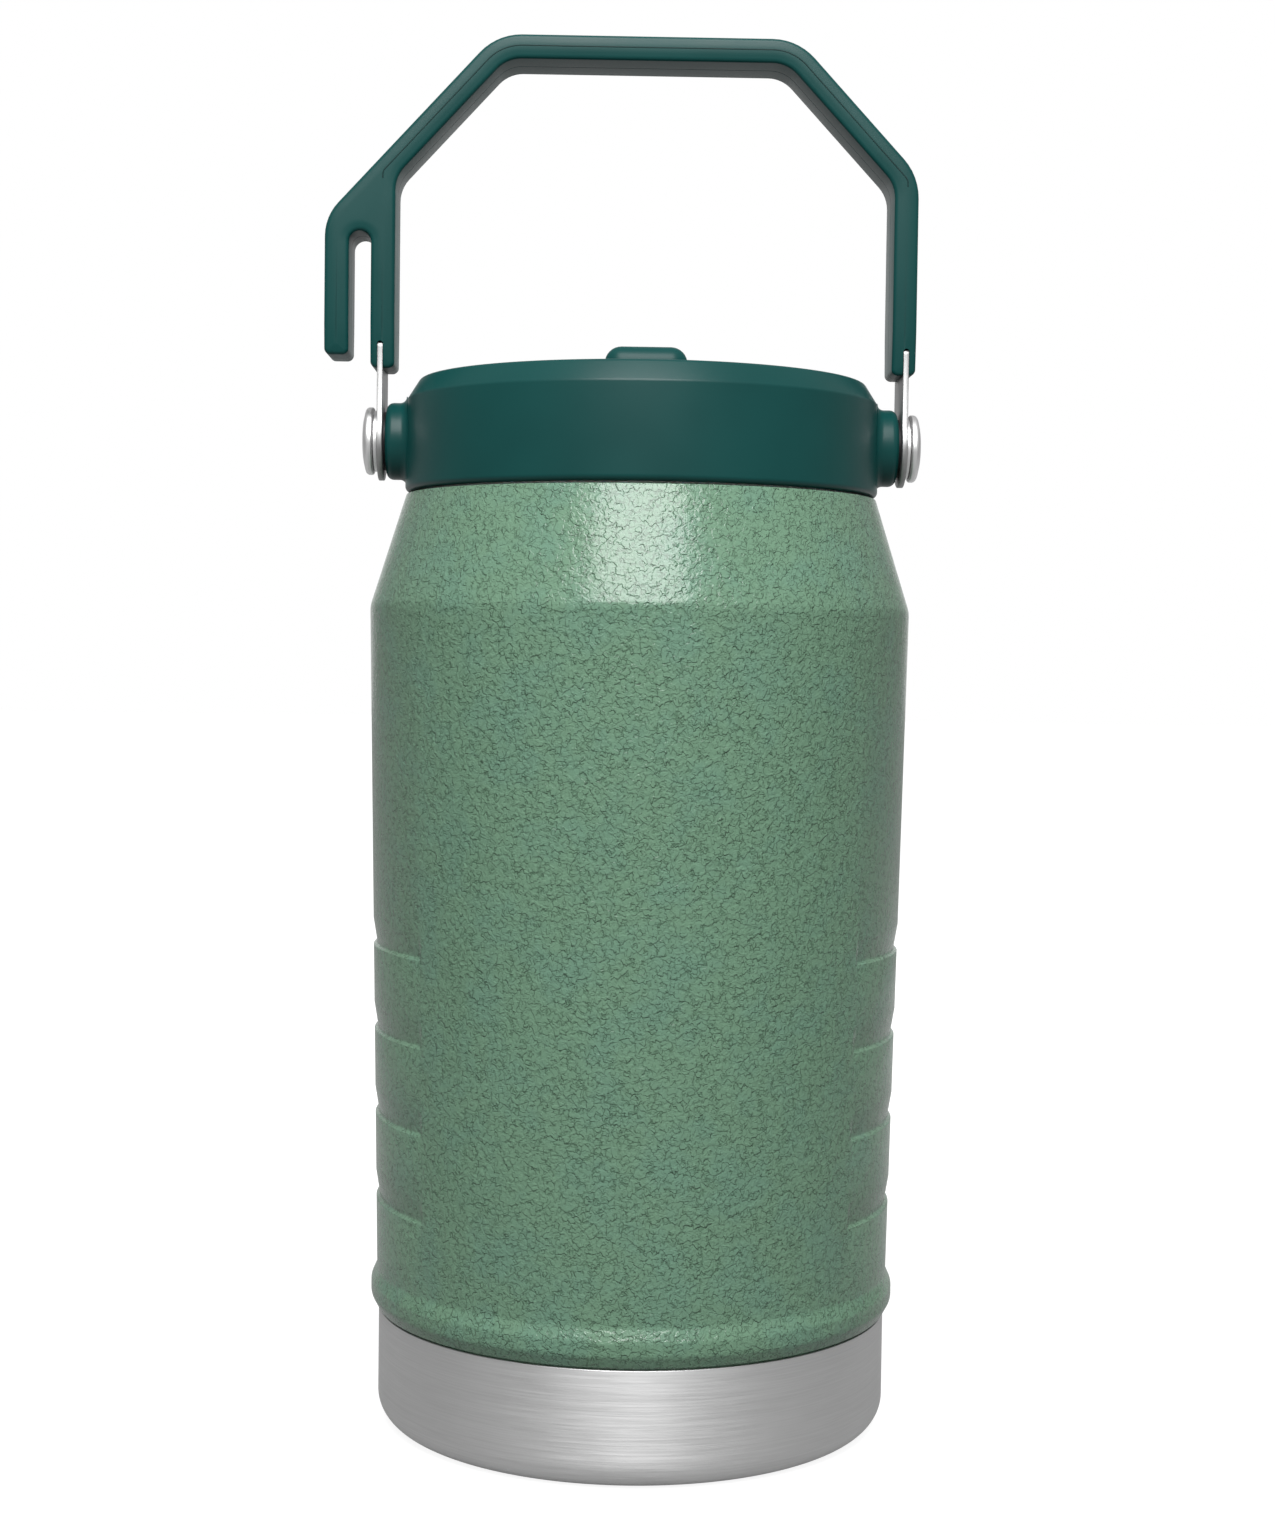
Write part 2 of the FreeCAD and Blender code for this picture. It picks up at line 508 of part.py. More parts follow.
def spout_seal():
    """Silicone ring under the barrel, hollowed to the barrel's curve."""
    top = TROUGH_Z + MOVING_GAP + BARREL_R / 3
    ring = tube(PORT_SEAL_R, STRAW_R - STRAW_WALL, TROUGH_Z - TROUGH_WALL, top, 0.0, HINGE_Y)
    clear_r = BARREL_R + MOVING_GAP
    width = 2 * TROUGH_HALF
    ring = ring.cut(Part.makeCylinder(clear_r, width, V(-TROUGH_HALF, HINGE_Y, HINGE_Z), X_AXIS))
    ahead = 2 * PORT_SEAL_R
    under_lever = Part.makeBox(width, ahead, BARREL_R, V(-TROUGH_HALF, HINGE_Y - ahead, TROUGH_Z))
    return ring.cut(under_lever)


def straw_sleeve():
    low = PLUG_Z - STRAW_GRIP
    return tube(SLEEVE_R, STRAW_R + SEAT, low, STRAW_TOP_Z - SEAT, 0.0, HINGE_Y)


def straw():
    low = LINER_Z + LINER_WALL + STRAW_LIFT
    return tube(STRAW_R, STRAW_R - STRAW_WALL, low, STRAW_TOP_Z - SEAT, 0.0, HINGE_Y)


# --- Pivots -----------------------------------------------------------------------------------
def pivot_bush(side):
    return pivot_ring(BUSH_R, SHANK_R + SEAT, BOSS_X - BUSH_LENGTH + SEAT, BOSS_X, side)


def inner_washer(side):
    start = BOSS_X + SEAT
    return pivot_ring(INNER_WASHER_R, SHANK_R + SEAT, start, start + INNER_WASHER, side)


def outer_washer(side):
    start = STRAP_X + STRAP_THICK + SIDE_PLAY
    end = start + OUTER_WASHER
    bore_r = SHANK_R + SEAT
    edge = OUTER_WASHER / 4
    return turned_on_pivot([(start, bore_r), (end, bore_r), (end, OUTER_WASHER_R, edge),
                            (start, OUTER_WASHER_R, edge)], side)


def pivot_screw(side):
    start = BOSS_X - BUSH_LENGTH + SEAT
    crown_r = HEAD_R / 2
    return turned_on_pivot([
        (start, 0), (HEAD_X + HEAD_HEIGHT, 0), (HEAD_X + HEAD_HEIGHT, crown_r, 2 * HEAD_R),
        (HEAD_X + 0.7 * HEAD_HEIGHT, HEAD_R, HEAD_ROUND), (HEAD_X, HEAD_R, HEAD_ROUND / 2),
        (HEAD_X, SHANK_R), (start, SHANK_R, SHANK_R / 6)], side)


# --- Bail -------------------------------------------------------------------------------------
def arch(inset, low_z):
    """Half-arch corners on +X at a depth of inset inside the grip's outer face, from low_z to the top bar."""
    lean = math.atan2(BAIL_TOP_Z - KNEE_Z, GRIP_OUT_X - BAR_HALF)
    knee_drop = inset * math.tan((math.pi / 2 - lean) / 2)
    bar_cut = inset * math.tan(lean / 2)
    round_r = max(ARCH_ROUND - inset, 0.0)
    return [(GRIP_OUT_X - inset, low_z), (GRIP_OUT_X - inset, KNEE_Z - knee_drop, round_r),
            (BAR_HALF - bar_cut, BAIL_TOP_Z - inset, round_r)]


def mirrored(corners):
    return [(-c[0], *c[1:]) for c in reversed(corners)]


def grip_blank():
    """The grip with its fence hook, before the strap's pocket is cut."""
    low_z = PIVOT_Z + GRIP_START
    outer, inner = arch(0.0, low_z), arch(GRIP_THICK, low_z)
    lean = math.atan2(BAIL_TOP_Z - KNEE_Z, GRIP_OUT_X - BAR_HALF)
    hook_z = KNEE_Z - (HOOK_X - GRIP_OUT_X) * math.tan(lean)
    prong_z = PIVOT_Z + HOOK_START
    slot_z = PIVOT_Z + HOOK_TOP
    slot_x = GRIP_OUT_X + HOOK_SLOT
    right = [(*outer[0], LIMB_END_ROUND)] + outer[1:]
    bar_left = mirrored(outer)[0]
    hook = [(-HOOK_X, hook_z, HOOK_CORNER), (-HOOK_X, prong_z, LIMB_END_ROUND),
            (-slot_x, prong_z, LIMB_END_ROUND), (-slot_x, slot_z, HOOK_SLOT / 2),
            (-GRIP_OUT_X, slot_z, HOOK_SLOT / 2), (-GRIP_OUT_X, low_z, LIMB_END_ROUND)]
    inside_right = [inner[2], inner[1], (*inner[0], LIMB_END_ROUND)]
    corners = right + [bar_left] + hook + mirrored(inside_right) + inside_right
    blank = prism(outline(corners, "xz", -GRIP_DEPTH / 2), GRIP_DEPTH)
    long_edges = [e for e in blank.Edges
                  if abs(abs(e.CenterOfMass.y) - GRIP_DEPTH / 2) < 1e-6 and e.BoundBox.YLength < 1e-6]
    return blank.makeFillet(GRIP_EDGE, long_edges)


def strap_core(gap):
    """The strap's run inside the grip, with gap added all round."""
    low_z = PIVOT_Z + STRAP_SHOW - gap
    from_outside = GRIP_THICK - GRIP_INSIDE - STRAP_THICK
    outer, inner = arch(from_outside - gap, low_z), arch(from_outside + STRAP_THICK + gap, low_z)
    corners = outer + mirrored(outer) + [(-c[0], *c[1:]) for c in inner] + list(reversed(inner))
    width = STRAP_CORE_WIDTH + 2 * gap
    return prism(outline(corners, "xz", -width / 2), width)


def strap_leg(side, gap):
    """One bare leg of the strap, from the pivot up into the grip, with gap added all round."""
    width = STRAP_WIDTH + 2 * gap
    top_z = PIVOT_Z + STRAP_SHOW + gap
    start = side * (STRAP_X - gap)
    face = outline([(-width / 2, PIVOT_Z), (width / 2, PIVOT_Z), (width / 2, top_z, STRAP_THICK),
                    (-width / 2, top_z, STRAP_THICK)], "yz", start)
    return face.extrude(V(side * (STRAP_THICK + 2 * gap), 0, 0))


def bail_strap():
    strap = strap_core(0.0)
    legs = [strap_leg(side, 0.0) for side in (-1, 1)]
    outside_x = STRAP_X + STRAP_THICK
    eyes = [pivot_cylinder(EYE_R, STRAP_X, outside_x, side) for side in (-1, 1)]
    holes = [pivot_cylinder(SHANK_R + PIVOT_FIT, STRAP_X, outside_x, side) for side in (-1, 1)]
    return strap.fuse(legs + eyes).cut(holes).removeSplitter()


def bail_grip():
    return grip_blank().cut([strap_core(SEAT), strap_leg(-1, SEAT), strap_leg(1, SEAT)])


def build():
    nodes = {
        "base_cup": base_cup(), "shell_floor": shell_floor(), "vacuum_seal": vacuum_seal(),
        "outer_shell": outer_shell(), "inner_liner": inner_liner(), "liner_bottom": liner_bottom(),
        "getter": getter(), "lid_shell": lid_shell(), "lid_plug": lid_plug(), "lid_gasket": lid_gasket(),
        "vent_valve": vent_valve(), "spout": spout(), "spout_pins": spout_pins(), "spout_seal": spout_seal(),
        "straw_sleeve": straw_sleeve(), "straw": straw(), "bail_strap": bail_strap(),
        "bail_grip": bail_grip(),
    }
    for name, side in (("left", -1), ("right", 1)):
        nodes["pivot_bush_" + name] = pivot_bush(side)
        nodes["inner_washer_" + name] = inner_washer(side)
        nodes["outer_washer_" + name] = outer_washer(side)
        nodes["pivot_screw_" + name] = pivot_screw(side)
    return nodes


os.makedirs("parts", exist_ok=True)
for node, shape in build().items():
    shape.exportStep(os.path.join("parts", node + ".step"))
    box = shape.BoundBox
    print("%-20s solids %d valid %s volume %9.1f  x %.2f..%.2f y %.2f..%.2f z %.2f..%.2f" % (
        node, len(shape.Solids), shape.isValid(), shape.Volume,
        box.XMin, box.XMax, box.YMin, box.YMax, box.ZMin, box.ZMax))
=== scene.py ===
"""Dresses the insulated jug: hammered paint, brushed steel, moulded plastic and a soft white studio.

Metres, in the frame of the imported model. Sizes that a maker would change are in the property groups,
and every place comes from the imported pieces. Each operator makes one piece or a group of like pieces.
"""
import math

import bmesh
import bpy
from bpy.props import FloatProperty, FloatVectorProperty, IntProperty, PointerProperty
from mathutils import Euler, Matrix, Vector


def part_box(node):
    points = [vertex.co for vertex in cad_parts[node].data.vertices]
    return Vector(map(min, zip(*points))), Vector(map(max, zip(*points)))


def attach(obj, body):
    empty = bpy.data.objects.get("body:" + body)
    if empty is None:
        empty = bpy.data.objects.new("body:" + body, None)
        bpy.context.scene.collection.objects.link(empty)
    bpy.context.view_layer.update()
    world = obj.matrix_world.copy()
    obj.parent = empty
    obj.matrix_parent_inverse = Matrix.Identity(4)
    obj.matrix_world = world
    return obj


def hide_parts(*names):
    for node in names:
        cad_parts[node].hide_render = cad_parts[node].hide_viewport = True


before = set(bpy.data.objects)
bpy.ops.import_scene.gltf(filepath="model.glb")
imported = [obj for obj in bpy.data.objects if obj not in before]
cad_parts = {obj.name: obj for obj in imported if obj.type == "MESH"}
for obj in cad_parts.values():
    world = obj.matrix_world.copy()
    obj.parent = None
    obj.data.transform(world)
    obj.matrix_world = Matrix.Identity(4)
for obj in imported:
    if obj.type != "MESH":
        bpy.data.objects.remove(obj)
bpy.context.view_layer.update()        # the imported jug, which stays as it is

bl_info = {
    "name": "Insulated jug finishes",
    "version": (1, 0, 0),
    "blender": (4, 5, 0),
    "location": "3D View > Sidebar > Jug",
    "description": "Makes the visible pieces and the finishes of an insulated straw jug",
    "category": "Object",
}

MM = 0.001
SIDES = {"left": -1, "right": 1}
FIT = 0.05 * MM             # room round a piece that sits in another
SHARP = math.radians(32)    # edges sharper than this stay sharp
ROUND = 256                 # sides of a large turned piece
SMALL_ROUND = 96            # sides of a small one
EDGE = 0.2 * MM             # lightly broken edge


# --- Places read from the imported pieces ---
_, cup_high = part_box("base_cup")
shell_low, shell_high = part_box("outer_shell")
lid_low, lid_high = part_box("lid_shell")
spout_low, spout_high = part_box("spout")
grip_low, grip_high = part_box("bail_grip")
_, strap_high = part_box("bail_strap")
bush_low, bush_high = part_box("pivot_bush_right")
screw_low, screw_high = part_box("pivot_screw_right")
sleeve_low, sleeve_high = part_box("straw_sleeve")
valve_low, valve_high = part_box("vent_valve")
port_low, port_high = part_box("spout_seal")

BASE_R = cup_high.x
SEAM_Z = cup_high.z
RIM_Z = shell_high.z
LID_R = lid_high.y
PIVOT_Z = (bush_low.z + bush_high.z) / 2
HINGE_Y = (sleeve_low.y + sleeve_high.y) / 2


# --- Sizes and colours that a user would change ---
def number(name, description, value, **settings):
    return FloatProperty(name=name, description=description, default=value, **settings)


def length(name, description, millimetres):
    """A length property, given in millimetres and kept in metres."""
    return number(name, description, millimetres * MM, unit="LENGTH", precision=5)


def turn(name, description, radians):
    return number(name, description, radians, subtype="ANGLE")


def tint(name, description, red, green, blue):
    """A colour property, given as the 0 to 255 values that a screen shows."""
    def linear(value):
        value /= 255
        return value / 12.92 if value <= 0.04045 else ((value + 0.055) / 1.055) ** 2.4
    return FloatVectorProperty(name=name, description=description, subtype="COLOR", size=3, min=0, max=1,
                               default=(linear(red), linear(green), linear(blue)))


class JugBodySizes(bpy.types.PropertyGroup):
    """Sizes of the painted body and the steel base."""
    paint_step: length("Paint step", "How far the painted wall stands out past the bare cup", 0.3)
    wall: length("Wall", "Thickness of the painted sheet", 0.6)
    seam_gap: length("Seam gap", "Open line between the cup's edge and the bead", 0.55)
    bead_out: length("Bead", "How far the bead at the seam stands out", 1.45)
    bead_under: length("Bead underside", "Height of the bead's lower flank", 2.65)
    bead_ramp: length("Bead flank", "Height of the bead's upper flank", 2.9)
    bead_flat: length("Bead crown", "Height of the bead's crown", 3.0)
    bead_round: length("Bead rounding", "Radius between the bead's crown and its flanks", 2.6)
    taper: length("Taper", "Growth in radius from the seam to the shoulder", 2.99)
    shoulder_round: length("Shoulder rounding", "Radius of the crease between the wall and the cone", 7.0)
    cone_height: length("Cone height", "From the shoulder's crease to the rim", 25.3)
    cone_draw: length("Cone draw", "Loss in radius from the shoulder to the rim", 7.95)
    groove_count: IntProperty(name="Grooves", description="Grip grooves on each side", default=4, min=0)
    groove_pitch: length("Groove pitch", "Height from one ledge to the next", 19.2)
    groove_first: length("First groove", "Lowest ledge, above the seam", 25.0)
    groove_height: length("Groove height", "From the ledge up to where the wall is whole again", 6.2)
    groove_depth: length("Groove depth", "Depth just above the ledge", 0.8)
    ledge_rise: length("Ledge", "Height of the ledge", 0.7)
    groove_arc: turn("Groove arc", "How far each groove reaches round the body", math.radians(77.4))
    groove_end: turn("Groove end", "Angle over which each end of a groove fades out", math.radians(1.6))
    foot_radius: length("Foot rounding", "Radius between the cup's wall and its standing ring", 9.2)
    ring_width: length("Standing ring", "Width of the flat ring under the cup", 5.0)
    recess: length("Recess", "How far the middle of the cup is raised", 2.5)
    recess_round: length("Recess rounding", "Radius of the step between ring and middle", 1.2)
    cup_wall: length("Cup wall", "Thickness of the steel cup", 0.7)


class JugLidSizes(bpy.types.PropertyGroup):
    """Sizes of the lid, its pivot bosses and its spout."""
    wall_height: length("Lid wall", "Height of the lid's upright wall", 20.8)
    draft: length("Draft", "Loss in radius up the lid's wall", 0.3)
    chamfer_in: length("Chamfer", "How far the chamfer draws in", 2.9)
    chamfer_round: length("Chamfer rounding", "Radius of the chamfer's two edges", 1.2)
    skirt_round: length("Skirt rounding", "Radius of the lid's lower edge", 1.6)
    wall: length("Wall", "Thickness of the lid's wall", 2.4)
    boss_radius: length("Boss radius", "Radius of each pivot boss", 8.7)
    boss_round: length("Boss rounding", "Radius of the boss's outer edge", 1.6)
    boss_foot: length("Boss foot", "Fillet between the boss and the lid's wall", 1.5)
    trough_side: length("Trough side", "Gap on each side of the spout", 0.6)
    trough_wall: length("Trough wall", "Thickness of the trough's walls", 3.0)
    trough_rim: length("Trough rim", "Rounding round the trough's mouth", 0.8)
    trough_gap: length("Trough gap", "Gap under the spout", 0.3)
    finger_gap: length("Finger gap", "From the spout's tip to the end of the trough", 5.5)
    spout_round: length("Spout rounding", "Rounding of the spout's long edges", 3.6)
    spout_bore: length("Mouthpiece", "Radius of the mouthpiece's bore", 3.0)
    bore_flare: length("Mouthpiece lip", "How far the bore's mouth flares out", 0.9)


class JugBailSizes(bpy.types.PropertyGroup):
    """Sizes of the bail's grip, hook and strap."""
    thickness: length("Grip thickness", "From the grip's inner face to its outer face", 5.4)
    knee_up: length("Knee height", "From the pivot to where the limb begins to slope", 60.5)
    bar_half: length("Half bar", "Half the length of the top bar, to its outer corners", 33.7)
    arch_round: length("Arch rounding", "Outer radius of the arch's corners", 13.0)
    limb_round: length("Limb end", "Radius at the limbs' and the prong's lower ends", 1.4)
    limb_taper_up: length("Limb taper", "Height above the limb's end where its faces begin to draw in", 9.6)
    limb_taper_in: length("Limb draw", "How far each face has drawn in at the limb's end", 1.1)
    slot_width: length("Hook slot", "Width of the fence hook's slot", 4.95)
    slot_up: length("Slot top", "From the pivot to the top of the slot", 46.3)
    prong_up: length("Prong end", "From the pivot to the prong's lower end", 18.7)
    hook_corner: length("Hook corner", "Radius of the hook's upper corner", 11.0)
    edge_in: length("Edge rounding, across", "How far the rounded edge reaches across the grip's face", 1.0)
    edge_deep: length("Edge rounding, deep", "How far the rounded edge reaches down the grip's side", 1.0)
    crown: length("Crown", "How far the middle of the face stands above its edges", 0.14)
    parting: length("Parting line", "Half width and depth of the line round the grip's sides", 0.13)
    # The mould line is a real fine line on the grip; its dark colour is painted shade.
    mould_line: length("Mould line", "Radius of the fine dark line along the grip's face", 0.2)
    mould_line_in: length("Mould line place", "From the outer face to the mould line", 2.6)
    mould_line_sunk: length("Mould line sunk", "From the grip's front down to the line's own axis", 0.13)
    strap_show: length("Bare strap", "From the pivot to where the strap is lost in the grip", 21.8)
    strap_thick: length("Strap thickness", "Thickness of the strap", 1.25)
    slot_gap: length("Strap slot gap", "Gap round the strap in the grip", 0.06)
    metal_edge: length("Metal edge", "Broken edge of the strap and washers", 0.16)


class JugFinishes(bpy.types.PropertyGroup):
    """Colours of the jug's finishes."""
    paint: tint("Paint", "Hammered paint on the body", 92, 122, 100)
    # Darker colour for the creases: painted shade where the creases fall dark.
    paint_crease_shade: tint("Paint creases", "Paint in the creases of the hammered finish", 46, 72, 53)
    paint_cool: tint("Paint, cool patches", "Bluish patches in the paint", 87, 121, 107)
    steel: tint("Steel", "Bare stainless steel", 213, 213, 213)
    plastic: tint("Plastic", "Moulded lid, spout and grip", 8, 58, 56)
    silicone: tint("Silicone", "Seals and valve", 205, 208, 204)
    straw: tint("Straw", "Translucent straw", 206, 214, 212)


class JugStudio(bpy.types.PropertyGroup):
    """Camera and lamps."""
    lens: number("Lens", "Focal length on a 36 mm high sensor, in millimetres", 58.81)
    distance: length("Distance", "From the jug's axis to the camera", 567.4)
    eye_height: length("Eye height", "Height of the camera above the floor", 175.4)
    heading: turn("Heading", "How far the camera stands to the left of straight ahead", math.radians(1.2))
    pan: turn("Pan", "How far the camera looks to the right of the jug's axis", -0.0001)
    pitch: turn("Pitch", "How far the camera looks down", 0.0422)
    roll: turn("Roll", "How far the camera is turned on its own axis", 0.013)
    surround: number("Surround", "Brightness of the room all round the jug", 0.28)
    ceiling: number("Ceiling", "What the room gains straight overhead", 0.30)
    front: number("Front", "What the room gains straight before the jug", 0.38)
    key: number("Key lamp", "Power of the large lamp above the front, in watts", 14.2)
    back: number("Back lamp", "Power of the soft lamp behind the jug, in watts", 4.0)
    floor_grey: number("Floor", "Share of the light that the floor gives back", 0.2)
    floor_glow: number("Floor glow", "What the floor adds where the camera sees it", 0.88)
    floor_gloss: number("Reflected floor", "Share of that glow that reflections show", 0.3)


GROUPS = {"jug_body": JugBodySizes, "jug_lid": JugLidSizes, "jug_bail": JugBailSizes,
          "jug_finish": JugFinishes, "jug_studio": JugStudio}


# --- Outlines ---
ARC_STEP = math.radians(7.5)
LEAST_ROUND = 0.05 * MM


def corner_arcs(corners, inset=0.0, step=ARC_STEP):
    """Points round a closed outline of (u, v) or (u, v, radius) corners, moved inwards by inset.

    The corners run anticlockwise. Every inset gives the same number of points, so that loops can be joined.
    """
    points = [Vector(c[:2]) for c in corners]
    radii = [c[2] if len(c) > 2 else 0.0 for c in corners]
    count = len(points)
    ways = [(points[(i + 1) % count] - points[i]).normalized() for i in range(count)]
    moved, rounds, turns = [], [], []
    for i in range(count):
        before, after = ways[i - 1], ways[i]
        turn = math.atan2(before.x * after.y - before.y * after.x, before.dot(after))
        inward = (Vector((-before.y, before.x)) + Vector((-after.y, after.x))).normalized()
        moved.append(points[i] + inward * (inset / math.cos(turn / 2)))
        rounds.append(max(radii[i] - math.copysign(inset, turn), LEAST_ROUND) if radii[i] else 0.0)
        turns.append(turn)
    loop = []
    for i in range(count):
        if not rounds[i]:
            loop.append(moved[i])
            continue
        room = 0.499 * min((moved[i] - moved[i - 1]).length, (moved[(i + 1) % count] - moved[i]).length)
        reach = min(rounds[i] * math.tan(abs(turns[i]) / 2), room)
        radius = reach / math.tan(abs(turns[i]) / 2)
        start = moved[i] - ways[i - 1] * reach
        side = Vector((-ways[i - 1].y, ways[i - 1].x)) * math.copysign(radius, turns[i])
        centre = start + side
        steps = max(2, math.ceil(abs(turns[i]) / step))
        for k in range(steps + 1):
            angle = turns[i] * k / steps
            spoke = -side
            loop.append(centre + Vector((spoke.x * math.cos(angle) - spoke.y * math.sin(angle),
                                         spoke.x * math.sin(angle) + spoke.y * math.cos(angle))))
    return loop


def circle(u, v, radius, count):
    """Points of a circle, anticlockwise."""
    return [Vector((u + radius * math.cos(a), v + radius * math.sin(a))) for a in even_angles(count)]


def quarter(across, along, steps):
    """(inset, depth) steps of a quarter ellipse, from a wall to the face it turns into."""
    return [(across * (1 - math.cos(math.pi / 2 * k / steps)), along * math.sin(math.pi / 2 * k / steps))
            for k in range(steps + 1)]


# --- Meshes ---
def upright(u, v, w):
    """Outline in a plan view, stacked upwards."""
    return Vector((u, v, w))


def facing(u, v, w):
    """Outline in a front view, stacked from front to back."""
    return Vector((u, w, v))


def sideways(u, v, w):
    """Outline in a side view, stacked across."""
    return Vector((w, u, v))


def add_ring(bm, loop, height, place):
    return [bm.verts.new(place(p.x, p.y, height)) for p in loop]


def join_rings(bm, first, second):
    count = len(first)
    for i in range(count):
        j = (i + 1) % count
        bm.faces.new((first[i], first[j], second[j], second[i]))


def join_closed(bm, rings):
    for first, second in zip(rings, rings[1:]):
        join_rings(bm, first, second)


def cap(bm, *rings):
    """Fill a flat ring, with any further rings as holes in it."""
    if len(rings) == 1:
        bm.faces.new(rings[0])
        return
    edges = []
    for ring in rings:
        for i, vert in enumerate(ring):
            pair = (vert, ring[(i + 1) % len(ring)])
            edges.append(bm.edges.get(pair) or bm.edges.new(pair))
    bmesh.ops.triangle_fill(bm, use_beauty=True, use_dissolve=False, edges=edges)


def linked(name, data):
    """A new object in the scene."""
    obj = bpy.data.objects.new(name, data)
    bpy.context.scene.collection.objects.link(obj)
    return obj


def make_object(name, bm, sharp=SHARP):
    """Turn a finished bmesh into a linked, smooth-shaded object with its faces outwards."""
    bmesh.ops.remove_doubles(bm, verts=bm.verts, dist=1e-7)
    bmesh.ops.recalc_face_normals(bm, faces=bm.faces)
    mesh = bpy.data.meshes.new(name)
    bm.to_mesh(mesh)
    bm.free()
    mesh.shade_smooth()
    mesh.set_sharp_from_angle(angle=sharp)
    return linked(name, mesh)


def stacked(bm, corners, layers, place):
    """Closed solid from one outline repeated in layers of (height, inset)."""
    rings = [add_ring(bm, corner_arcs(corners, inset), height, place) for height, inset in layers]
    join_closed(bm, rings)
    cap(bm, rings[0])
    cap(bm, rings[-1])
    return rings


def turn_points(profile, angles, place):
    """Rings of a turned surface: one list of places for each (radius, height) of the profile."""
    return [[place(r * math.cos(a), r * math.sin(a), h) for a in angles] for r, h in profile]


def add_turned(bm, profile, angles, place=upright, closed=True):
    """Turned surface from a profile of (radius, height) points; a point on the axis becomes a pole."""
    rings = []
    for (radius, _), row in zip(profile, turn_points(profile, angles, place)):
        rings.append([bm.verts.new(row[0])] if radius < 1e-6 else [bm.verts.new(p) for p in row])
    pairs = list(zip(rings, rings[1:]))
    if closed:
        pairs.append((rings[-1], rings[0]))
    for first, second in pairs:
        if len(first) == 1 and len(second) == 1:
            continue
        if len(first) > 1 and len(second) > 1:
            join_rings(bm, first, second)
            continue
        pole, ring = (first[0], second) if len(first) == 1 else (second[0], first)
        for i, vert in enumerate(ring):
            bm.faces.new((pole, vert, ring[(i + 1) % len(ring)]))
    return rings


def even_angles(count):
    return [2 * math.pi * k / count for k in range(count)]


def on_pivot(side):
    """Places a turned piece on the bail's axis, heights counted outwards from the jug's axis."""
    return lambda u, v, w: Vector((side * w, u, PIVOT_Z + v))


def turned(name, outline, angles, place=upright):
    """A turned piece from a closed outline of (radius, height) points."""
    bm = bmesh.new()
    add_turned(bm, [(p.x, p.y) for p in outline], angles, place)
    return make_object(name, bm)


def finish(obj, body, slot, material, *nodes):
    """Give a piece its finish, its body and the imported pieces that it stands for."""
    obj.data.materials.clear()
    obj.data.materials.append(material)
    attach(obj, body)
    if nodes:
        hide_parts(*nodes)
    return obj


def plain_mesh(obj):
    """Apply an object's modifiers and leave a plain mesh."""
    depsgraph = bpy.context.evaluated_depsgraph_get()
    mesh = bpy.data.meshes.new_from_object(obj.evaluated_get(depsgraph))
    obj.modifiers.clear()
    obj.data = mesh
    mesh.name = obj.name
    return obj


def join_objects(name, objs):
    """Join objects that are in place into one."""
    with bpy.context.temp_override(active_object=objs[0], selected_objects=objs,
                                   selected_editable_objects=objs):
        bpy.ops.object.join()
    objs[0].name = name
    objs[0].data.name = name
    return objs[0]


def cut_with(obj, cutter):
    """Cut one closed mesh from another and delete the cutter."""
    modifier = obj.modifiers.new("cut", "BOOLEAN")
    modifier.operation = "DIFFERENCE"
    modifier.solver = "EXACT"
    modifier.object = cutter
    plain_mesh(obj)
    bpy.data.objects.remove(cutter)
    return obj


def dressed(node, name, edge, sharp=math.radians(30)):
    """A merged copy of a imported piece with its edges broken."""
    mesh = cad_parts[node].data.copy()
    bm = bmesh.new()
    bm.from_mesh(mesh)
    bmesh.ops.remove_doubles(bm, verts=bm.verts, dist=2e-6)
    bmesh.ops.dissolve_limit(bm, angle_limit=math.radians(0.5), verts=bm.verts, edges=bm.edges)
    obj = make_object(name, bm, sharp)
    bpy.data.meshes.remove(mesh)
    if edge:
        bevel = obj.modifiers.new("edge", "BEVEL")
        bevel.width = edge
        bevel.segments = 2
        bevel.limit_method = "ANGLE"
        bevel.angle_limit = math.radians(40)
        plain_mesh(obj)
        obj.data.shade_smooth()
        obj.data.set_sharp_from_angle(angle=sharp)
    return obj


# --- Materials ---
class Nodes:
    """A node tree, with short ways to add and join its nodes."""

    def __init__(self, tree):
        self.tree = tree

    def give(self, socket, value):
        """Let an input follow another socket, or hold a value of its own."""
        if isinstance(value, bpy.types.NodeSocket):
            self.tree.links.new(value, socket)
        elif socket.type == "RGBA":
            socket.default_value = (*value[:3], 1.0)
        else:
            socket.default_value = value

    def add(self, kind, inputs=None, **settings):
        """Add a node with its settings, and give its inputs their values or sockets."""
        node = self.tree.nodes.new(kind)
        for key, value in settings.items():
            setattr(node, key, value)
        for key, value in (inputs or {}).items():
            self.give(node.inputs[key], value)
        return node

    def math(self, operation, first, second=None, clamp=False):
        inputs = {0: first} if second is None else {0: first, 1: second}
        return self.add("ShaderNodeMath", inputs, operation=operation, use_clamp=clamp).outputs["Value"]

    def vector(self, operation, first, second=None, scale=None):
        given = ((0, first), (1, second), ("Scale", scale))
        inputs = {key: value for key, value in given if value is not None}
        node = self.add("ShaderNodeVectorMath", inputs, operation=operation)
        return node.outputs["Value" if operation == "LENGTH" else "Vector"]

    def split(self, vector):
        """The parts of a vector along each axis."""
        return self.add("ShaderNodeSeparateXYZ", {"Vector": vector}).outputs

    def ramp(self, value, low, high, to_low=0.0, to_high=1.0, interpolation="SMOOTHSTEP"):
        """Map a value from one range to another."""
        inputs = {"Value": value, "From Min": low, "From Max": high, "To Min": to_low, "To Max": to_high}
        return self.add("ShaderNodeMapRange", inputs, interpolation_type=interpolation).outputs["Result"]


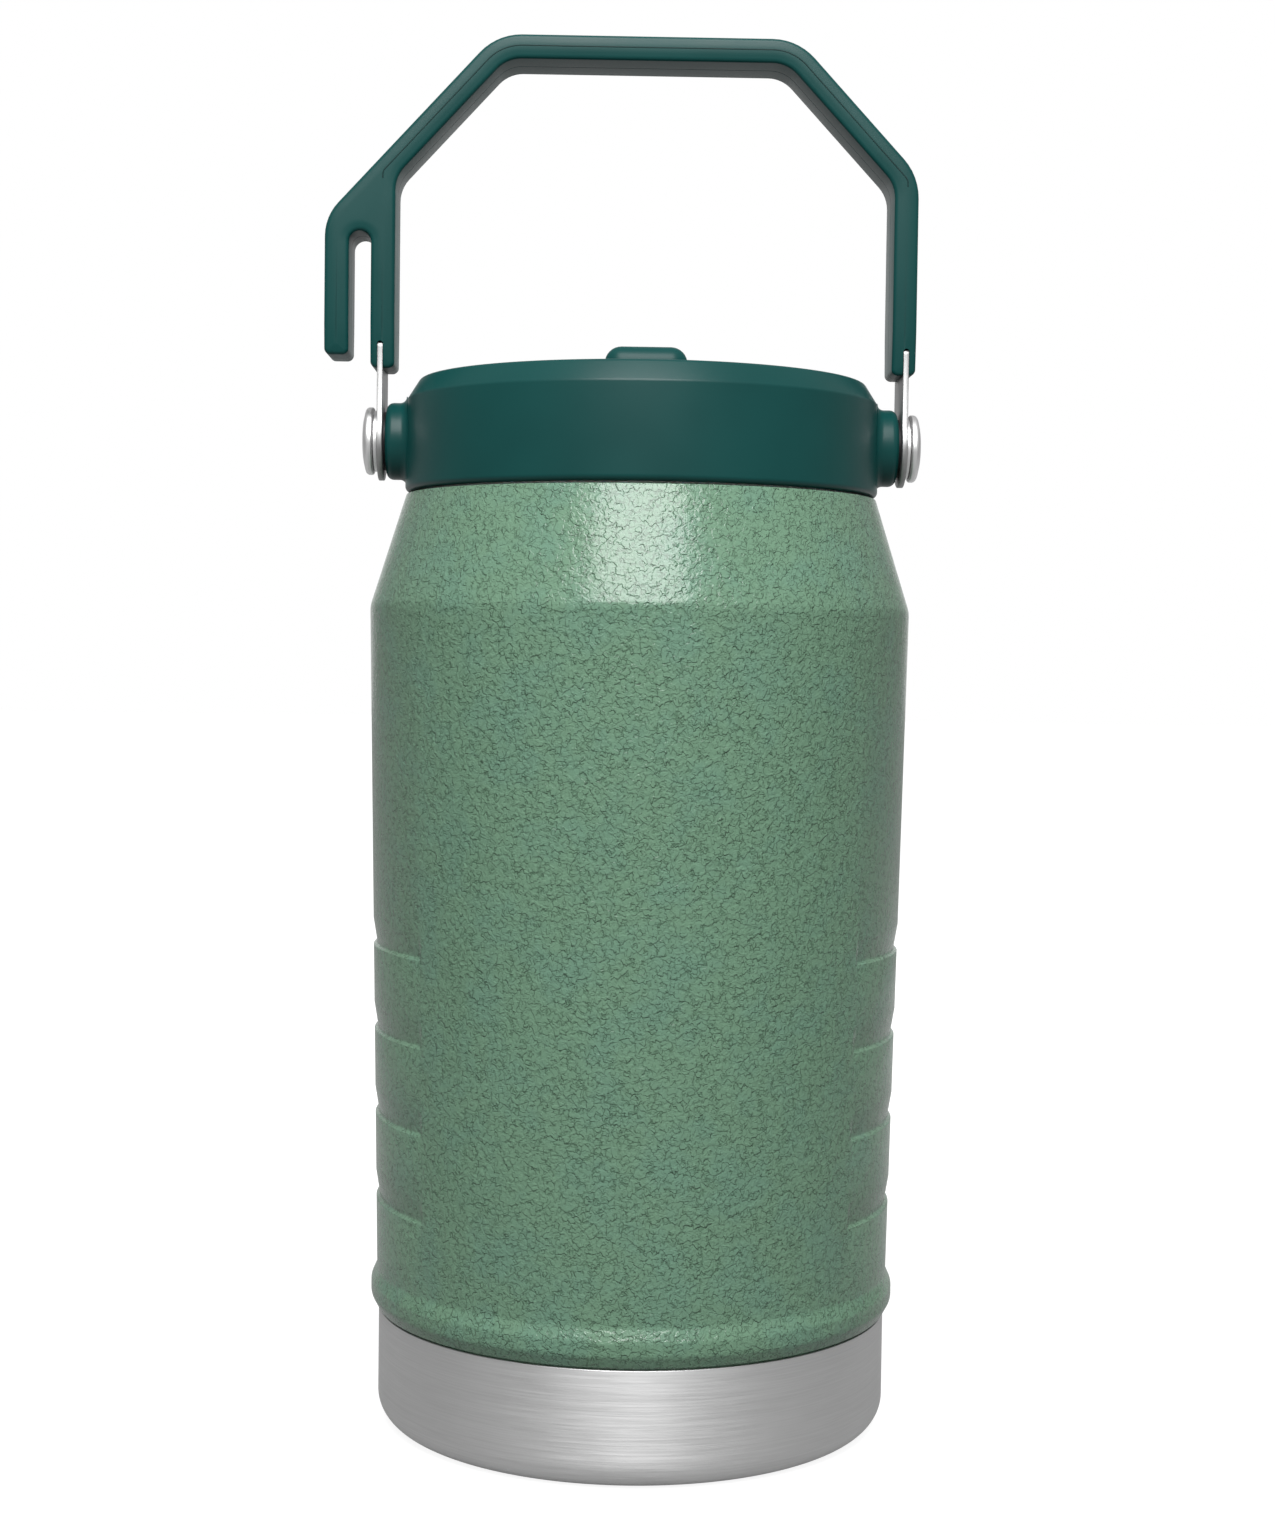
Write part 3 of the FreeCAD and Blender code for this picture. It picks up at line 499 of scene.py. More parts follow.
class Shader(Nodes):
    """The node tree of a material with one surface."""

    def __init__(self, name):
        self.material = bpy.data.materials.new(name)
        self.material.use_nodes = True
        super().__init__(self.material.node_tree)
        self.surface = self.tree.nodes["Principled BSDF"]
        self.place = self.add("ShaderNodeTexCoord").outputs["Object"]

    def set(self, **values):
        """Values or sockets for the surface, with _ for each space in a socket's name."""
        for key, value in values.items():
            self.give(self.surface.inputs[key.replace("_", " ")], value)

    def noise(self, scale, detail=2.0, roughness=0.5, stretch=None, distortion=0.0, output="Fac"):
        """Noise on the object's coordinates, which stretch scales apart along each axis."""
        vector = self.place
        if stretch:
            vector = self.add("ShaderNodeMapping", {"Vector": vector, "Scale": stretch}).outputs["Vector"]
        inputs = {"Vector": vector, "Scale": scale, "Detail": detail, "Roughness": roughness,
                  "Distortion": distortion}
        return self.add("ShaderNodeTexNoise", inputs).outputs[output]

    def mix(self, factor, first, second):
        """Blend two colours."""
        inputs = {"Factor": factor, 6: first, 7: second}
        return self.add("ShaderNodeMix", inputs, data_type="RGBA").outputs[2]

    def bump(self, height, distance, strength):
        """A normal that leans with the height."""
        inputs = {"Height": height, "Distance": distance, "Strength": strength}
        return self.add("ShaderNodeBump", inputs).outputs["Normal"]


# Islands of the hammered paint, per metre.
COARSE = 880.0
FINE = 1500.0


def hammered_paint(name, colours):
    """Stove enamel under a glossy coat, drawn up into small flat islands at slightly different heights, with
    painted shade darkening the creases between them.
    """
    shader = Shader(name)
    wander = shader.vector("SUBTRACT", shader.noise(640.0, 2.0, 0.6, output="Color"), (0.5, 0.5, 0.5))
    warped = shader.vector("ADD", shader.place, shader.vector("SCALE", wander, scale=0.0021))

    def cells(feature, output, **inputs):
        inputs["Vector"] = warped
        return shader.add("ShaderNodeTexVoronoi", inputs, feature=feature).outputs[output]

    def islands(scale, smoothness):
        colour = cells("SMOOTH_F1", "Color", Scale=scale, Smoothness=smoothness)
        return shader.add("ShaderNodeSeparateColor", {0: colour}).outputs[0]

    def relief(coarse, fine, share):
        small = shader.math("MULTIPLY", islands(FINE, fine), share)
        return shader.math("ADD", islands(COARSE, coarse), small)

    edges = cells("DISTANCE_TO_EDGE", "Distance", Scale=COARSE)
    broken = shader.ramp(shader.noise(720.0, 1.0), 0.46, 0.60)
    # Broken crease mask: it sinks the relief a little and darkens the colour as painted shade in the creases.
    cut = shader.math("MULTIPLY", shader.ramp(edges, 0.0, 0.16, 1.0, 0.0), broken)
    pigment = shader.math("SUBTRACT", relief(0.22, 0.3, 0.35), shader.math("MULTIPLY", cut, 0.3))
    gloss = relief(0.5, 0.5, 0.3)
    cool = shader.ramp(shader.noise(85.0, 3.0, 0.6), 0.40, 0.70, 0.0, 0.4)
    body_colour = shader.mix(cool, colours.paint, colours.paint_cool)
    # The colour goes part way to the crease colour along the mask: painted shade in the creases.
    shader.set(Base_Color=shader.mix(shader.math("MULTIPLY", cut, 0.45), body_colour, colours.paint_crease_shade),
               Roughness=0.8, Specular_IOR_Level=0.0, Normal=shader.bump(pigment, 0.00036, 1.0),
               Coat_Weight=1.0, Coat_IOR=1.41, Coat_Roughness=0.2,
               Coat_Normal=shader.bump(gloss, 0.00008, 1.0))
    return shader.material


# Brushed lines per metre of height.
BRUSH_LINES = {"brushed_steel": 2600.0, "drawn_steel": 1500.0}


def brushed_steel(name, colours):
    """Stainless steel brushed round the axis: fine level lines in its colour, gloss and relief."""
    shader = Shader(name)
    upright = BRUSH_LINES[name]
    lines = shader.noise(1.0, 3.0, 0.65, (28.0, 28.0, upright))
    hairs = shader.noise(1.0, 2.0, 0.5, (110.0, 110.0, upright * 2.2))
    blotch = shader.noise(42.0)
    grain = shader.math("ADD", shader.math("MULTIPLY", lines, 0.6), shader.math("MULTIPLY", hairs, 0.4))
    steel = Vector(colours.steel)
    rough = shader.math("ADD", shader.ramp(grain, 0.3, 0.7, 0.44, 0.54),
                        shader.ramp(blotch, 0.35, 0.7, -0.02, 0.03))
    tangent = shader.add("ShaderNodeTangent", direction_type="RADIAL", axis="Z").outputs["Tangent"]
    shader.set(Base_Color=shader.mix(shader.ramp(grain, 0.32, 0.68), steel * 0.88, steel), Metallic=1.0,
               Roughness=rough, Anisotropic=0.6, Anisotropic_Rotation=0.25, Tangent=tangent,
               Normal=shader.bump(grain, 0.00003, 0.35))
    return shader.material


def grained(name, colours):
    """Finishes whose one grain sets their colour, their gloss and their relief."""
    steel = Vector(colours.steel)
    rubber = Vector(colours.silicone)
    bright, satin = steel * 1.2, steel * 0.52
    noise, dark, light, rough, relief, values = {
        # Rolled and tumbled fasteners, with faint turning marks.
        "polished_steel": ((1.0, 2.0, 0.5, (3000.0, 260.0, 260.0)), bright * 0.93, bright,
                           (0.36, 0.44), (0.00002, 0.25), {"Metallic": 1.0}),
        # Flat satin steel, with its grain along the strap.
        "satin_steel": ((1.0, 3.0, 0.6, (2200.0, 2200.0, 60.0)), satin * 0.9, satin,
                        (0.44, 0.54), (0.00003, 0.3), {"Metallic": 1.0}),
        # Turned bronze, with fine lathe marks.
        "bush_brass": ((1.0, 2.0, 0.5, (3800.0, 200.0, 200.0)), (0.50, 0.33, 0.13), (0.62, 0.43, 0.19),
                       (0.26, 0.36), (0.00003, 0.3), {"Metallic": 1.0}),
        # Matt silicone with a dusty bloom.
        "silicone": ((240.0, 3.0, 0.6), rubber * 0.93, rubber,
                     (0.48, 0.62), (0.00003, 0.3), {"Subsurface_Weight": 0.12, "Subsurface_Scale": 0.002}),
    }[name]
    shader = Shader(name)
    grain = shader.noise(*noise)
    shader.set(Base_Color=shader.mix(shader.ramp(grain, 0.35, 0.65), dark, light),
               Roughness=shader.ramp(grain, 0.3, 0.7, *rough), Normal=shader.bump(grain, *relief), **values)
    return shader.material


# Share of the plastic's colour, roughness and gloss of each moulding.
PLASTICS = {
    "lid_plastic": (1.0, 0.36, 0.2), "grip_plastic": (1.0, 0.38, 0.19), "spout_plastic": (1.0, 0.4, 0.16),
    # The fine mould line takes under half the colour: painted shade along the line.
    "plug_plastic": (1.0, 0.45, 0.2), "seam_plastic": (0.45, 0.55, 0.2), "washer_plastic": (1.0, 0.5, 0.2),
}
WASHER_BLACK = (0.012, 0.012, 0.013)


def moulded_plastic(name, colours):
    """Fine spark-eroded plastic: a velvety grain with faint flow clouds."""
    share, roughness, gloss = PLASTICS[name]
    shader = Shader(name)
    grain = shader.noise(5200.0, 2.0, 0.6)
    cloud = shader.noise(38.0)
    colour = Vector(WASHER_BLACK if name == "washer_plastic" else colours.plastic) * share
    rough = shader.math("ADD", shader.ramp(grain, 0.3, 0.7, roughness - 0.03, roughness + 0.03),
                        shader.ramp(cloud, 0.35, 0.65, -0.02, 0.02))
    shader.set(Base_Color=shader.mix(shader.ramp(cloud, 0.35, 0.65), colour * 0.95, colour * 1.05),
               Roughness=rough, Specular_IOR_Level=gloss, Diffuse_Roughness=0.3,
               Normal=shader.bump(grain, 0.00002, 0.05))
    return shader.material


def straw_plastic(name, colours):
    """Cloudy drawn tube with faint lines along it."""
    shader = Shader(name)
    lines = shader.noise(1.0, stretch=(2400.0, 2400.0, 30.0))
    shader.set(Base_Color=colours.straw, Roughness=shader.ramp(lines, 0.3, 0.7, 0.18, 0.3),
               Transmission_Weight=0.7, IOR=1.49, Normal=shader.bump(lines, 0.00002, 0.3))
    return shader.material


def getter_metal(name, colours):
    """Dull pressed powder in a thin holder."""
    shader = Shader(name)
    powder = shader.noise(1500.0, 3.0, 0.7)
    shader.set(Base_Color=shader.mix(powder, (0.10, 0.10, 0.11), (0.26, 0.26, 0.27)), Metallic=0.7,
               Roughness=0.62, Normal=shader.bump(powder, 0.00008, 0.6))
    return shader.material


def braze_alloy(name, colours):
    """Solder button that has flowed and dulled."""
    shader = Shader(name)
    flow = shader.noise(420.0, 3.0, 0.6, distortion=1.2)
    shader.set(Base_Color=shader.mix(flow, (0.42, 0.40, 0.37), (0.66, 0.63, 0.58)), Metallic=1.0,
               Roughness=shader.ramp(flow, 0.3, 0.7, 0.32, 0.5), Normal=shader.bump(flow, 0.00012, 0.5))
    return shader.material


MAKERS = {
    "hammered_paint": hammered_paint, "brushed_steel": brushed_steel, "drawn_steel": brushed_steel,
    "polished_steel": grained, "satin_steel": grained, "bush_brass": grained, "silicone": grained,
    "straw_plastic": straw_plastic, "getter_metal": getter_metal, "braze_alloy": braze_alloy,
    **dict.fromkeys(PLASTICS, moulded_plastic),
}


MATERIALS = {}


def material(name):
    """The finish of that name, made once."""
    if name not in MATERIALS:
        MATERIALS[name] = MAKERS[name](name, bpy.context.scene.jug_finish)
    return MATERIALS[name]


# --- Geometry Nodes ---
class Rule(Nodes):
    """A geometry node tree with named inputs, ending in Realize Instances and Set Material."""

    def __init__(self, name, sizes):
        super().__init__(bpy.data.node_groups.new(name, "GeometryNodeTree"))
        new_socket = self.tree.interface.new_socket
        for way in ("INPUT", "OUTPUT"):
            new_socket("Geometry", in_out=way, socket_type="NodeSocketGeometry")
        self.values = []
        for label, value in sizes.items():
            kind = "NodeSocketInt" if isinstance(value, int) else "NodeSocketFloat"
            self.values.append((new_socket(label, in_out="INPUT", socket_type=kind), value))
        self.entry = self.add("NodeGroupInput")
        self.exit = self.add("NodeGroupOutput")

    def size(self, label):
        return self.entry.outputs[label]

    def apply(self, obj, geometry, finish_material):
        """End the tree, run it on the object and keep the result as a plain mesh."""
        whole = self.add("GeometryNodeRealizeInstances", {"Geometry": geometry}).outputs["Geometry"]
        coated = self.add("GeometryNodeSetMaterial", {"Geometry": whole, "Material": finish_material})
        self.give(self.exit.inputs["Geometry"], coated.outputs["Geometry"])
        modifier = obj.modifiers.new(self.tree.name, "NODES")
        modifier.node_group = self.tree
        for socket, value in self.values:
            modifier[socket.identifier] = value
        return plain_mesh(obj)


def grip_grooves(obj, sizes, finish_material):
    """Press the grip grooves into both sides of the painted wall, all the way through the sheet."""
    rule = Rule("grip_grooves", {
        "Count": sizes.groove_count, "Pitch": sizes.groove_pitch, "First ledge": SEAM_Z + sizes.groove_first,
        "Height": sizes.groove_height, "Depth": sizes.groove_depth, "Ledge rise": sizes.ledge_rise,
        "Half arc": sizes.groove_arc / 2, "End fade": sizes.groove_end})
    size, calc = rule.size, rule.math
    where = rule.split(rule.add("GeometryNodeInputPosition").outputs["Position"])
    off_x = calc("ARCTAN2", calc("ABSOLUTE", where["Y"]), calc("ABSOLUTE", where["X"]))
    fade_start = calc("SUBTRACT", size("Half arc"), size("End fade"))
    in_arc = rule.ramp(off_x, fade_start, size("Half arc"), 1.0, 0.0)
    above = calc("SUBTRACT", where["Z"], size("First ledge"))
    index = calc("FLOOR", calc("DIVIDE", above, size("Pitch")))
    last = calc("SUBTRACT", size("Count"), 1.0)
    index = calc("MAXIMUM", calc("MINIMUM", index, last), 0.0)
    local = calc("SUBTRACT", above, calc("MULTIPLY", index, size("Pitch")))
    ledge = rule.ramp(local, 0.0, size("Ledge rise"))
    run = calc("SUBTRACT", local, size("Ledge rise"))
    slope_height = calc("SUBTRACT", size("Height"), size("Ledge rise"))
    slope = calc("SUBTRACT", 1.0, calc("DIVIDE", run, slope_height, True), True)
    depth = calc("MULTIPLY", calc("MULTIPLY", calc("MINIMUM", ledge, slope), in_arc), size("Depth"))
    level = rule.add("ShaderNodeCombineXYZ", {"X": where["X"], "Y": where["Y"]}).outputs["Vector"]
    shift = rule.vector("SCALE", rule.vector("NORMALIZE", level), scale=calc("MULTIPLY", depth, -1.0))
    moved = rule.add("GeometryNodeSetPosition", {"Geometry": size("Geometry"), "Offset": shift})
    return rule.apply(obj, moved.outputs["Geometry"], finish_material)


def fine_line(name, path, radius, finish_material):
    """Fine round line along an open path of points, sunk until it is nearly flush with its face."""
    mesh = bpy.data.meshes.new(name)
    mesh.from_pydata(path, [(i, i + 1) for i in range(len(path) - 1)], [])
    obj = linked(name, mesh)
    rule = Rule(name, {"Radius": radius, "Sides": 8})
    curve = rule.add("GeometryNodeMeshToCurve", {"Mesh": rule.size("Geometry")}).outputs["Curve"]
    section = rule.add("GeometryNodeCurvePrimitiveCircle",
                       {"Resolution": rule.size("Sides"), "Radius": rule.size("Radius")}).outputs["Curve"]
    tube = rule.add("GeometryNodeCurveToMesh", {"Curve": curve, "Profile Curve": section, "Fill Caps": True})
    rule.apply(obj, tube.outputs["Mesh"], finish_material)
    obj.data.shade_smooth()
    return obj


# --- Operators: the body ---
def shell_radius(sizes, z):
    """Outer radius of the painted wall between the seam and the shoulder."""
    body_height = RIM_Z - sizes.cone_height - SEAM_Z
    return BASE_R + sizes.paint_step + sizes.taper * (z - SEAM_Z) / body_height


def shell_profile(sizes):
    """Closed (radius, height) outline of the painted sheet, spigot and rim included."""
    wall = sizes.wall
    spigot_z = shell_low.z
    spigot_r = BASE_R - sizes.cup_wall - FIT
    bead_z = SEAM_Z + sizes.seam_gap
    crown_z = bead_z + sizes.bead_under
    top_z = crown_z + sizes.bead_flat
    plain_z = top_z + sizes.bead_ramp
    bead_r = shell_radius(sizes, bead_z) + sizes.bead_out
    foot_r = BASE_R + sizes.paint_step
    shoulder_z = RIM_Z - sizes.cone_height
    shoulder_r = foot_r + sizes.taper
    rim_r = shoulder_r - sizes.cone_draw
    return [
        (spigot_r - wall, spigot_z), (spigot_r, spigot_z), (spigot_r, bead_z), (foot_r, bead_z, 0.25 * MM),
        (bead_r, crown_z, sizes.bead_round), (bead_r, top_z, sizes.bead_round),
        (shell_radius(sizes, plain_z), plain_z, sizes.bead_round),
        (shoulder_r, shoulder_z, sizes.shoulder_round), (rim_r, RIM_Z, 0.25 * MM), (rim_r - wall, RIM_Z),
        (shoulder_r - wall, shoulder_z, sizes.shoulder_round),
        (shell_radius(sizes, plain_z) - wall, plain_z, sizes.bead_round),
        (bead_r - wall, top_z, sizes.bead_round), (bead_r - wall, crown_z, sizes.bead_round),
        (spigot_r - wall, bead_z + wall)]


def with_rows(profile, heights):
    """Add points to a closed profile where it crosses the given heights."""
    rows = []
    for first, second in zip(profile, profile[1:] + profile[:1]):
        rows.append(first)
        between = [z for z in heights if min(first.y, second.y) + 1e-6 < z < max(first.y, second.y) - 1e-6]
        for z in sorted(between, reverse=second.y < first.y):
            rows.append(first.lerp(second, (z - first.y) / (second.y - first.y)))
    return rows


class JUG_OT_painted_body(bpy.types.Operator):
    """Turn the painted sheet, press its grip grooves and paint it"""
    bl_idname = "jug.painted_body"
    bl_label = "Painted body"

    def execute(self, context):
        sizes = context.scene.jug_body
        heights = []
        for i in range(sizes.groove_count):
            ledge = SEAM_Z + sizes.groove_first + i * sizes.groove_pitch
            heights += [ledge + sizes.ledge_rise * k / 8 for k in range(9)]
            heights += [ledge + sizes.ledge_rise + (sizes.groove_height - sizes.ledge_rise) * k / 12
                        for k in range(1, 13)]
        outline = corner_arcs(shell_profile(sizes), step=math.radians(6))
        rows = with_rows(outline, heights)
        edge = sizes.groove_arc / 2
        near = [edge - sizes.groove_end * (k / 5 - 0.1) for k in range(7)]
        ends = [a for b in near for a in (b, math.pi - b, math.pi + b, 2 * math.pi - b)]
        coarse = [a for a in even_angles(ROUND) if all(abs(a - b) > math.radians(0.5) for b in ends)]
        angles = sorted(coarse + ends)
        body = turned("painted_body", rows, angles)
        grip_grooves(body, sizes, material("hammered_paint"))
        body.data.set_sharp_from_angle(angle=math.radians(38))
        finish(body, "flask", "painted_shell", material("hammered_paint"), "outer_shell")
        return {"FINISHED"}


class JUG_OT_steel_base(bpy.types.Operator):
    """Turn the bare steel cup under the body"""
    bl_idname = "jug.steel_base"
    bl_label = "Steel base"

    def execute(self, context):
        sizes = context.scene.jug_body
        wall, foot = sizes.cup_wall, sizes.foot_radius
        recess_r = BASE_R - foot - sizes.ring_width
        ring_r = recess_r + sizes.recess / 2
        raised = sizes.recess + wall
        lip = EDGE
        outline = corner_arcs([
            (0, sizes.recess), (recess_r, sizes.recess, sizes.recess_round), (ring_r, 0, sizes.recess_round),
            (BASE_R, 0, foot), (BASE_R, SEAM_Z, lip), (BASE_R - wall, SEAM_Z, lip),
            (BASE_R - wall, wall, foot - wall), (ring_r + wall / 2, wall, wall),
            (recess_r + wall / 2, raised, sizes.recess_round), (0, raised)], step=math.radians(4))
        cup = turned("steel_base", outline, even_angles(ROUND))
        finish(cup, "flask", "base_steel", material("brushed_steel"), "base_cup")
        return {"FINISHED"}


class JUG_OT_inner_pieces(bpy.types.Operator):
    """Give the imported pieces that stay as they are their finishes"""
    bl_idname = "jug.inner_pieces"
    bl_label = "Inner pieces"

    finishes = {
        "drawn_steel": ["inner_liner", "liner_bottom", "shell_floor"], "braze_alloy": ["vacuum_seal"],
        "getter_metal": ["getter"], "plug_plastic": ["lid_plug"],
        "silicone": ["lid_gasket", "vent_valve", "spout_seal", "straw_sleeve"],
        "polished_steel": ["spout_pins"], "straw_plastic": ["straw"],
        "bush_brass": ["pivot_bush_left", "pivot_bush_right"],
        "washer_plastic": ["inner_washer_left", "inner_washer_right"],
    }

    def execute(self, context):
        for name, nodes in self.finishes.items():
            for node in nodes:
                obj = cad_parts[node]
                obj.data.materials.clear()
                obj.data.materials.append(material(name))
        return {"FINISHED"}


# --- Operators: the lid ---
def trough_corners(sizes):
    """Plan of the trough that the spout lies in."""
    half = spout_high.x + sizes.trough_side
    front = spout_low.y - sizes.finger_gap
    back = spout_high.y + sizes.spout_round
    rounding = sizes.spout_round
    plan = [(-half, front), (half, front), (half, back), (-half, back)]
    return [(x, y, rounding) for x, y in plan]


def lid_shell_mesh(sizes):
    """The lid with its chamfer, its sunk trough and the hollow under it, as one closed mesh."""
    bm = bmesh.new()
    angles = even_angles(ROUND)
    top_z, skirt_z = lid_high.z, lid_low.z
    shoulder_z = skirt_z + sizes.wall_height
    shoulder_r = LID_R - sizes.draft
    inside_r = shoulder_r - sizes.wall
    top_r = shoulder_r - sizes.chamfer_in
    ceiling_z = top_z - sizes.wall
    margin = 2.5 * MM
    outside = corner_arcs([
        (inside_r, skirt_z, 0.4 * MM), (LID_R, skirt_z, sizes.skirt_round),
        (shoulder_r, shoulder_z, sizes.chamfer_round),
        (top_r, top_z, sizes.chamfer_round), (top_r - margin, top_z), (top_r - margin, ceiling_z),
        (top_r - sizes.wall, ceiling_z, sizes.chamfer_round), (inside_r, shoulder_z - sizes.wall / 2)],
        step=math.radians(6))
    rings = add_turned(bm, [(p.x, p.y) for p in outside], angles)
    inner = [i for i, p in enumerate(outside) if abs(p.x - (top_r - margin)) < 1e-7]
    upper, lower = rings[inner[0]], rings[inner[1]]
    flat = set(upper) | set(lower)
    for face in [f for v in upper for f in v.link_faces if all(w in flat for w in f.verts)]:
        if face.is_valid:
            bm.faces.remove(face)
    plan = trough_corners(sizes)
    floor_z = spout_low.z - sizes.trough_gap
    rim = [(inset, depth) for inset, depth in quarter(sizes.trough_rim, sizes.trough_rim, 5)]
    mouth = [add_ring(bm, corner_arcs(plan, -(sizes.trough_rim + 0.4 * MM)), top_z, upright)]
    for inset, depth in reversed(rim):
        mouth.append(add_ring(bm, corner_arcs(plan, -inset), top_z - sizes.trough_rim + depth, upright))
    for inset, depth in quarter(sizes.trough_rim, sizes.trough_rim, 4):
        mouth.append(add_ring(bm, corner_arcs(plan, inset), floor_z + sizes.trough_rim - depth, upright))
    join_closed(bm, mouth)
    cap(bm, upper, mouth[0])
    under_z = floor_z - sizes.trough_wall
    port = ((port_high.x - port_low.x) / 2 + FIT, HINGE_Y)
    vent = (1.0 * MM, (valve_low.y + valve_high.y) / 2)
    floor_holes, under_holes = [], []
    for radius, y in (port, vent):
        upper_ring = add_ring(bm, circle(0, y, radius, 48), floor_z, upright)
        lower_ring = add_ring(bm, circle(0, y, radius, 48), under_z, upright)
        join_rings(bm, upper_ring, lower_ring)
        floor_holes.append(upper_ring)
        under_holes.append(lower_ring)
    cap(bm, mouth[-1], *floor_holes)
    block_low = add_ring(bm, corner_arcs(plan, -sizes.trough_wall), under_z, upright)
    block_high = add_ring(bm, corner_arcs(plan, -sizes.trough_wall), ceiling_z, upright)
    join_rings(bm, block_low, block_high)
    cap(bm, block_low, *under_holes)
    cap(bm, lower, block_high)
    return bm


def add_boss(bm, sizes, side):
    """Pivot boss on the lid's curved wall, with a fillet at its foot and a bore for the bush."""
    angles = even_angles(SMALL_ROUND)
    outer_x, inner_x = lid_high.x, bush_low.x
    bore = (bush_high.z - bush_low.z) / 2 + FIT
    radius, rounding, foot = sizes.boss_radius, sizes.boss_round, sizes.boss_foot
    wall_r = LID_R - sizes.draft / 2
    rings = []

    def ring(x, ring_r):
        rings.append([Vector((x, ring_r * math.cos(a), ring_r * math.sin(a))) for a in angles])

    ring(inner_x, bore)
    ring(outer_x - EDGE, bore)
    ring(outer_x, bore + EDGE)
    for inset, depth in reversed(quarter(rounding, rounding, 6)):
        ring(outer_x - rounding + depth, radius - inset)
    steps = 8
    for k in range(steps + 1):
        angle = math.pi / 2 * k / steps
        foot_r = radius + foot * (1 - math.cos(angle))
        lift = foot * (1 - math.sin(angle))
        row = []
        for a in angles:
            u, v = foot_r * math.cos(a), foot_r * math.sin(a)
            row.append(Vector((math.sqrt(wall_r ** 2 - u ** 2) + lift - 0.01 * MM, u, v)))
        rings.append(row)
    ring(inner_x, bore + 1.2 * MM)
    placed = [[bm.verts.new((side * p.x, p.y, PIVOT_Z + p.z)) for p in row] for row in rings]
    join_closed(bm, placed)
    join_rings(bm, placed[-1], placed[0])


class JUG_OT_lid_cap(bpy.types.Operator):
    """Mould the lid with its chamfer, its trough and the two pivot bosses"""
    bl_idname = "jug.lid_cap"
    bl_label = "Lid"

    def execute(self, context):
        sizes = context.scene.jug_lid
        lid = make_object("lid_cap", lid_shell_mesh(sizes))
        bosses = []
        for name, side in SIDES.items():
            bm = bmesh.new()
            add_boss(bm, sizes, side)
            bosses.append(make_object("boss_" + name, bm))
        lid = join_objects("lid_cap", [lid] + bosses)
        finish(lid, "lid", "lid_plastic", material("lid_plastic"), "lid_shell")
        return {"FINISHED"}


class JUG_OT_spout(bpy.types.Operator):
    """Mould the flip-up spout with its rounded lever, barrel and bored mouthpiece"""
    bl_idname = "jug.spout"
    bl_label = "Spout"

    def execute(self, context):
        sizes = context.scene.jug_lid
        tip_y, half = spout_low.y, spout_high.x
        low_z, top_z = spout_low.z, spout_high.z
        barrel_r = (top_z - low_z) / 2
        rounding = sizes.spout_round
        corners = [
            (tip_y, low_z + barrel_r / 2, rounding), (tip_y + barrel_r, low_z, barrel_r / 2),
            (spout_high.y, low_z, barrel_r), (spout_high.y, top_z, barrel_r), (tip_y, top_z, rounding)]
        edge = quarter(rounding, rounding, 8)
        layers = [(-half + rounding - depth, inset) for inset, depth in reversed(edge)]
        layers += [(half - rounding + depth, inset) for inset, depth in edge]
        bm = bmesh.new()
        stacked(bm, corners, layers, sideways)
        lever = make_object("spout_lever", bm)
        lip, bore = sizes.bore_flare, sizes.spout_bore
        hinge_z = (low_z + top_z) / 2
        end_y = spout_high.y + MM
        flare = [(bore + lip - inset, depth - lip) for inset, depth in quarter(lip, lip, 6)]
        profile = [(0, tip_y - MM), (bore + lip, tip_y - MM)]
        profile += [(r, tip_y - h) for r, h in reversed(flare)] + [(bore, end_y), (0, end_y)]
        bm = bmesh.new()
        add_turned(bm, profile, even_angles(64), lambda u, v, w: Vector((u, w, hinge_z + v)))
        cut_with(lever, make_object("bore", bm))
        lever.data.set_sharp_from_angle(angle=SHARP)
        finish(lever, "flip_spout", "spout_plastic", material("spout_plastic"), "spout")
        return {"FINISHED"}


# --- Operators: the bail ---
def arch_corners(sizes, inset, low_z):
    """Half of the arch on +X, at a depth of inset inside its outer face, from low_z to the top bar."""
    outer_x, top_z = grip_high.x, grip_high.z
    knee_z = PIVOT_Z + sizes.knee_up
    lean = math.atan2(top_z - knee_z, outer_x - sizes.bar_half)
    knee_drop = inset * math.tan((math.pi / 2 - lean) / 2)
    bar_cut = inset * math.tan(lean / 2)
    rounding = max(sizes.arch_round - inset, 0.0)
    return [(outer_x - inset, low_z), (outer_x - inset, knee_z - knee_drop, rounding),
            (sizes.bar_half - bar_cut, top_z - inset, rounding)]


def mirrored(corners):
    return [(-c[0], *c[1:]) for c in reversed(corners)]


def grip_corners(sizes):
    """Front view of the grip with its fence hook, anticlockwise."""
    low_z, outer_x = grip_low.z, grip_high.x
    outer, inner = arch_corners(sizes, 0.0, low_z), arch_corners(sizes, sizes.thickness, low_z)
    knee_z = PIVOT_Z + sizes.knee_up
    lean = math.atan2(grip_high.z - knee_z, outer_x - sizes.bar_half)
    hook_x = -grip_low.x
    hook_z = knee_z - (hook_x - outer_x) * math.tan(lean)
    prong_z, slot_z = PIVOT_Z + sizes.prong_up, PIVOT_Z + sizes.slot_up
    slot_x, half_slot, end = outer_x + sizes.slot_width, sizes.slot_width / 2, sizes.limb_round
    hook = [(-hook_x, hook_z, sizes.hook_corner), (-hook_x, prong_z, end), (-slot_x, prong_z, end),
            (-slot_x, slot_z, half_slot), (-outer_x, slot_z, half_slot), (-outer_x, low_z, end)]
    inside_right = [inner[2], inner[1], (*inner[0], end)]
    outside = [(*outer[0], end)] + outer[1:] + [mirrored(outer)[0]] + hook
    return outside + mirrored(inside_right) + inside_right


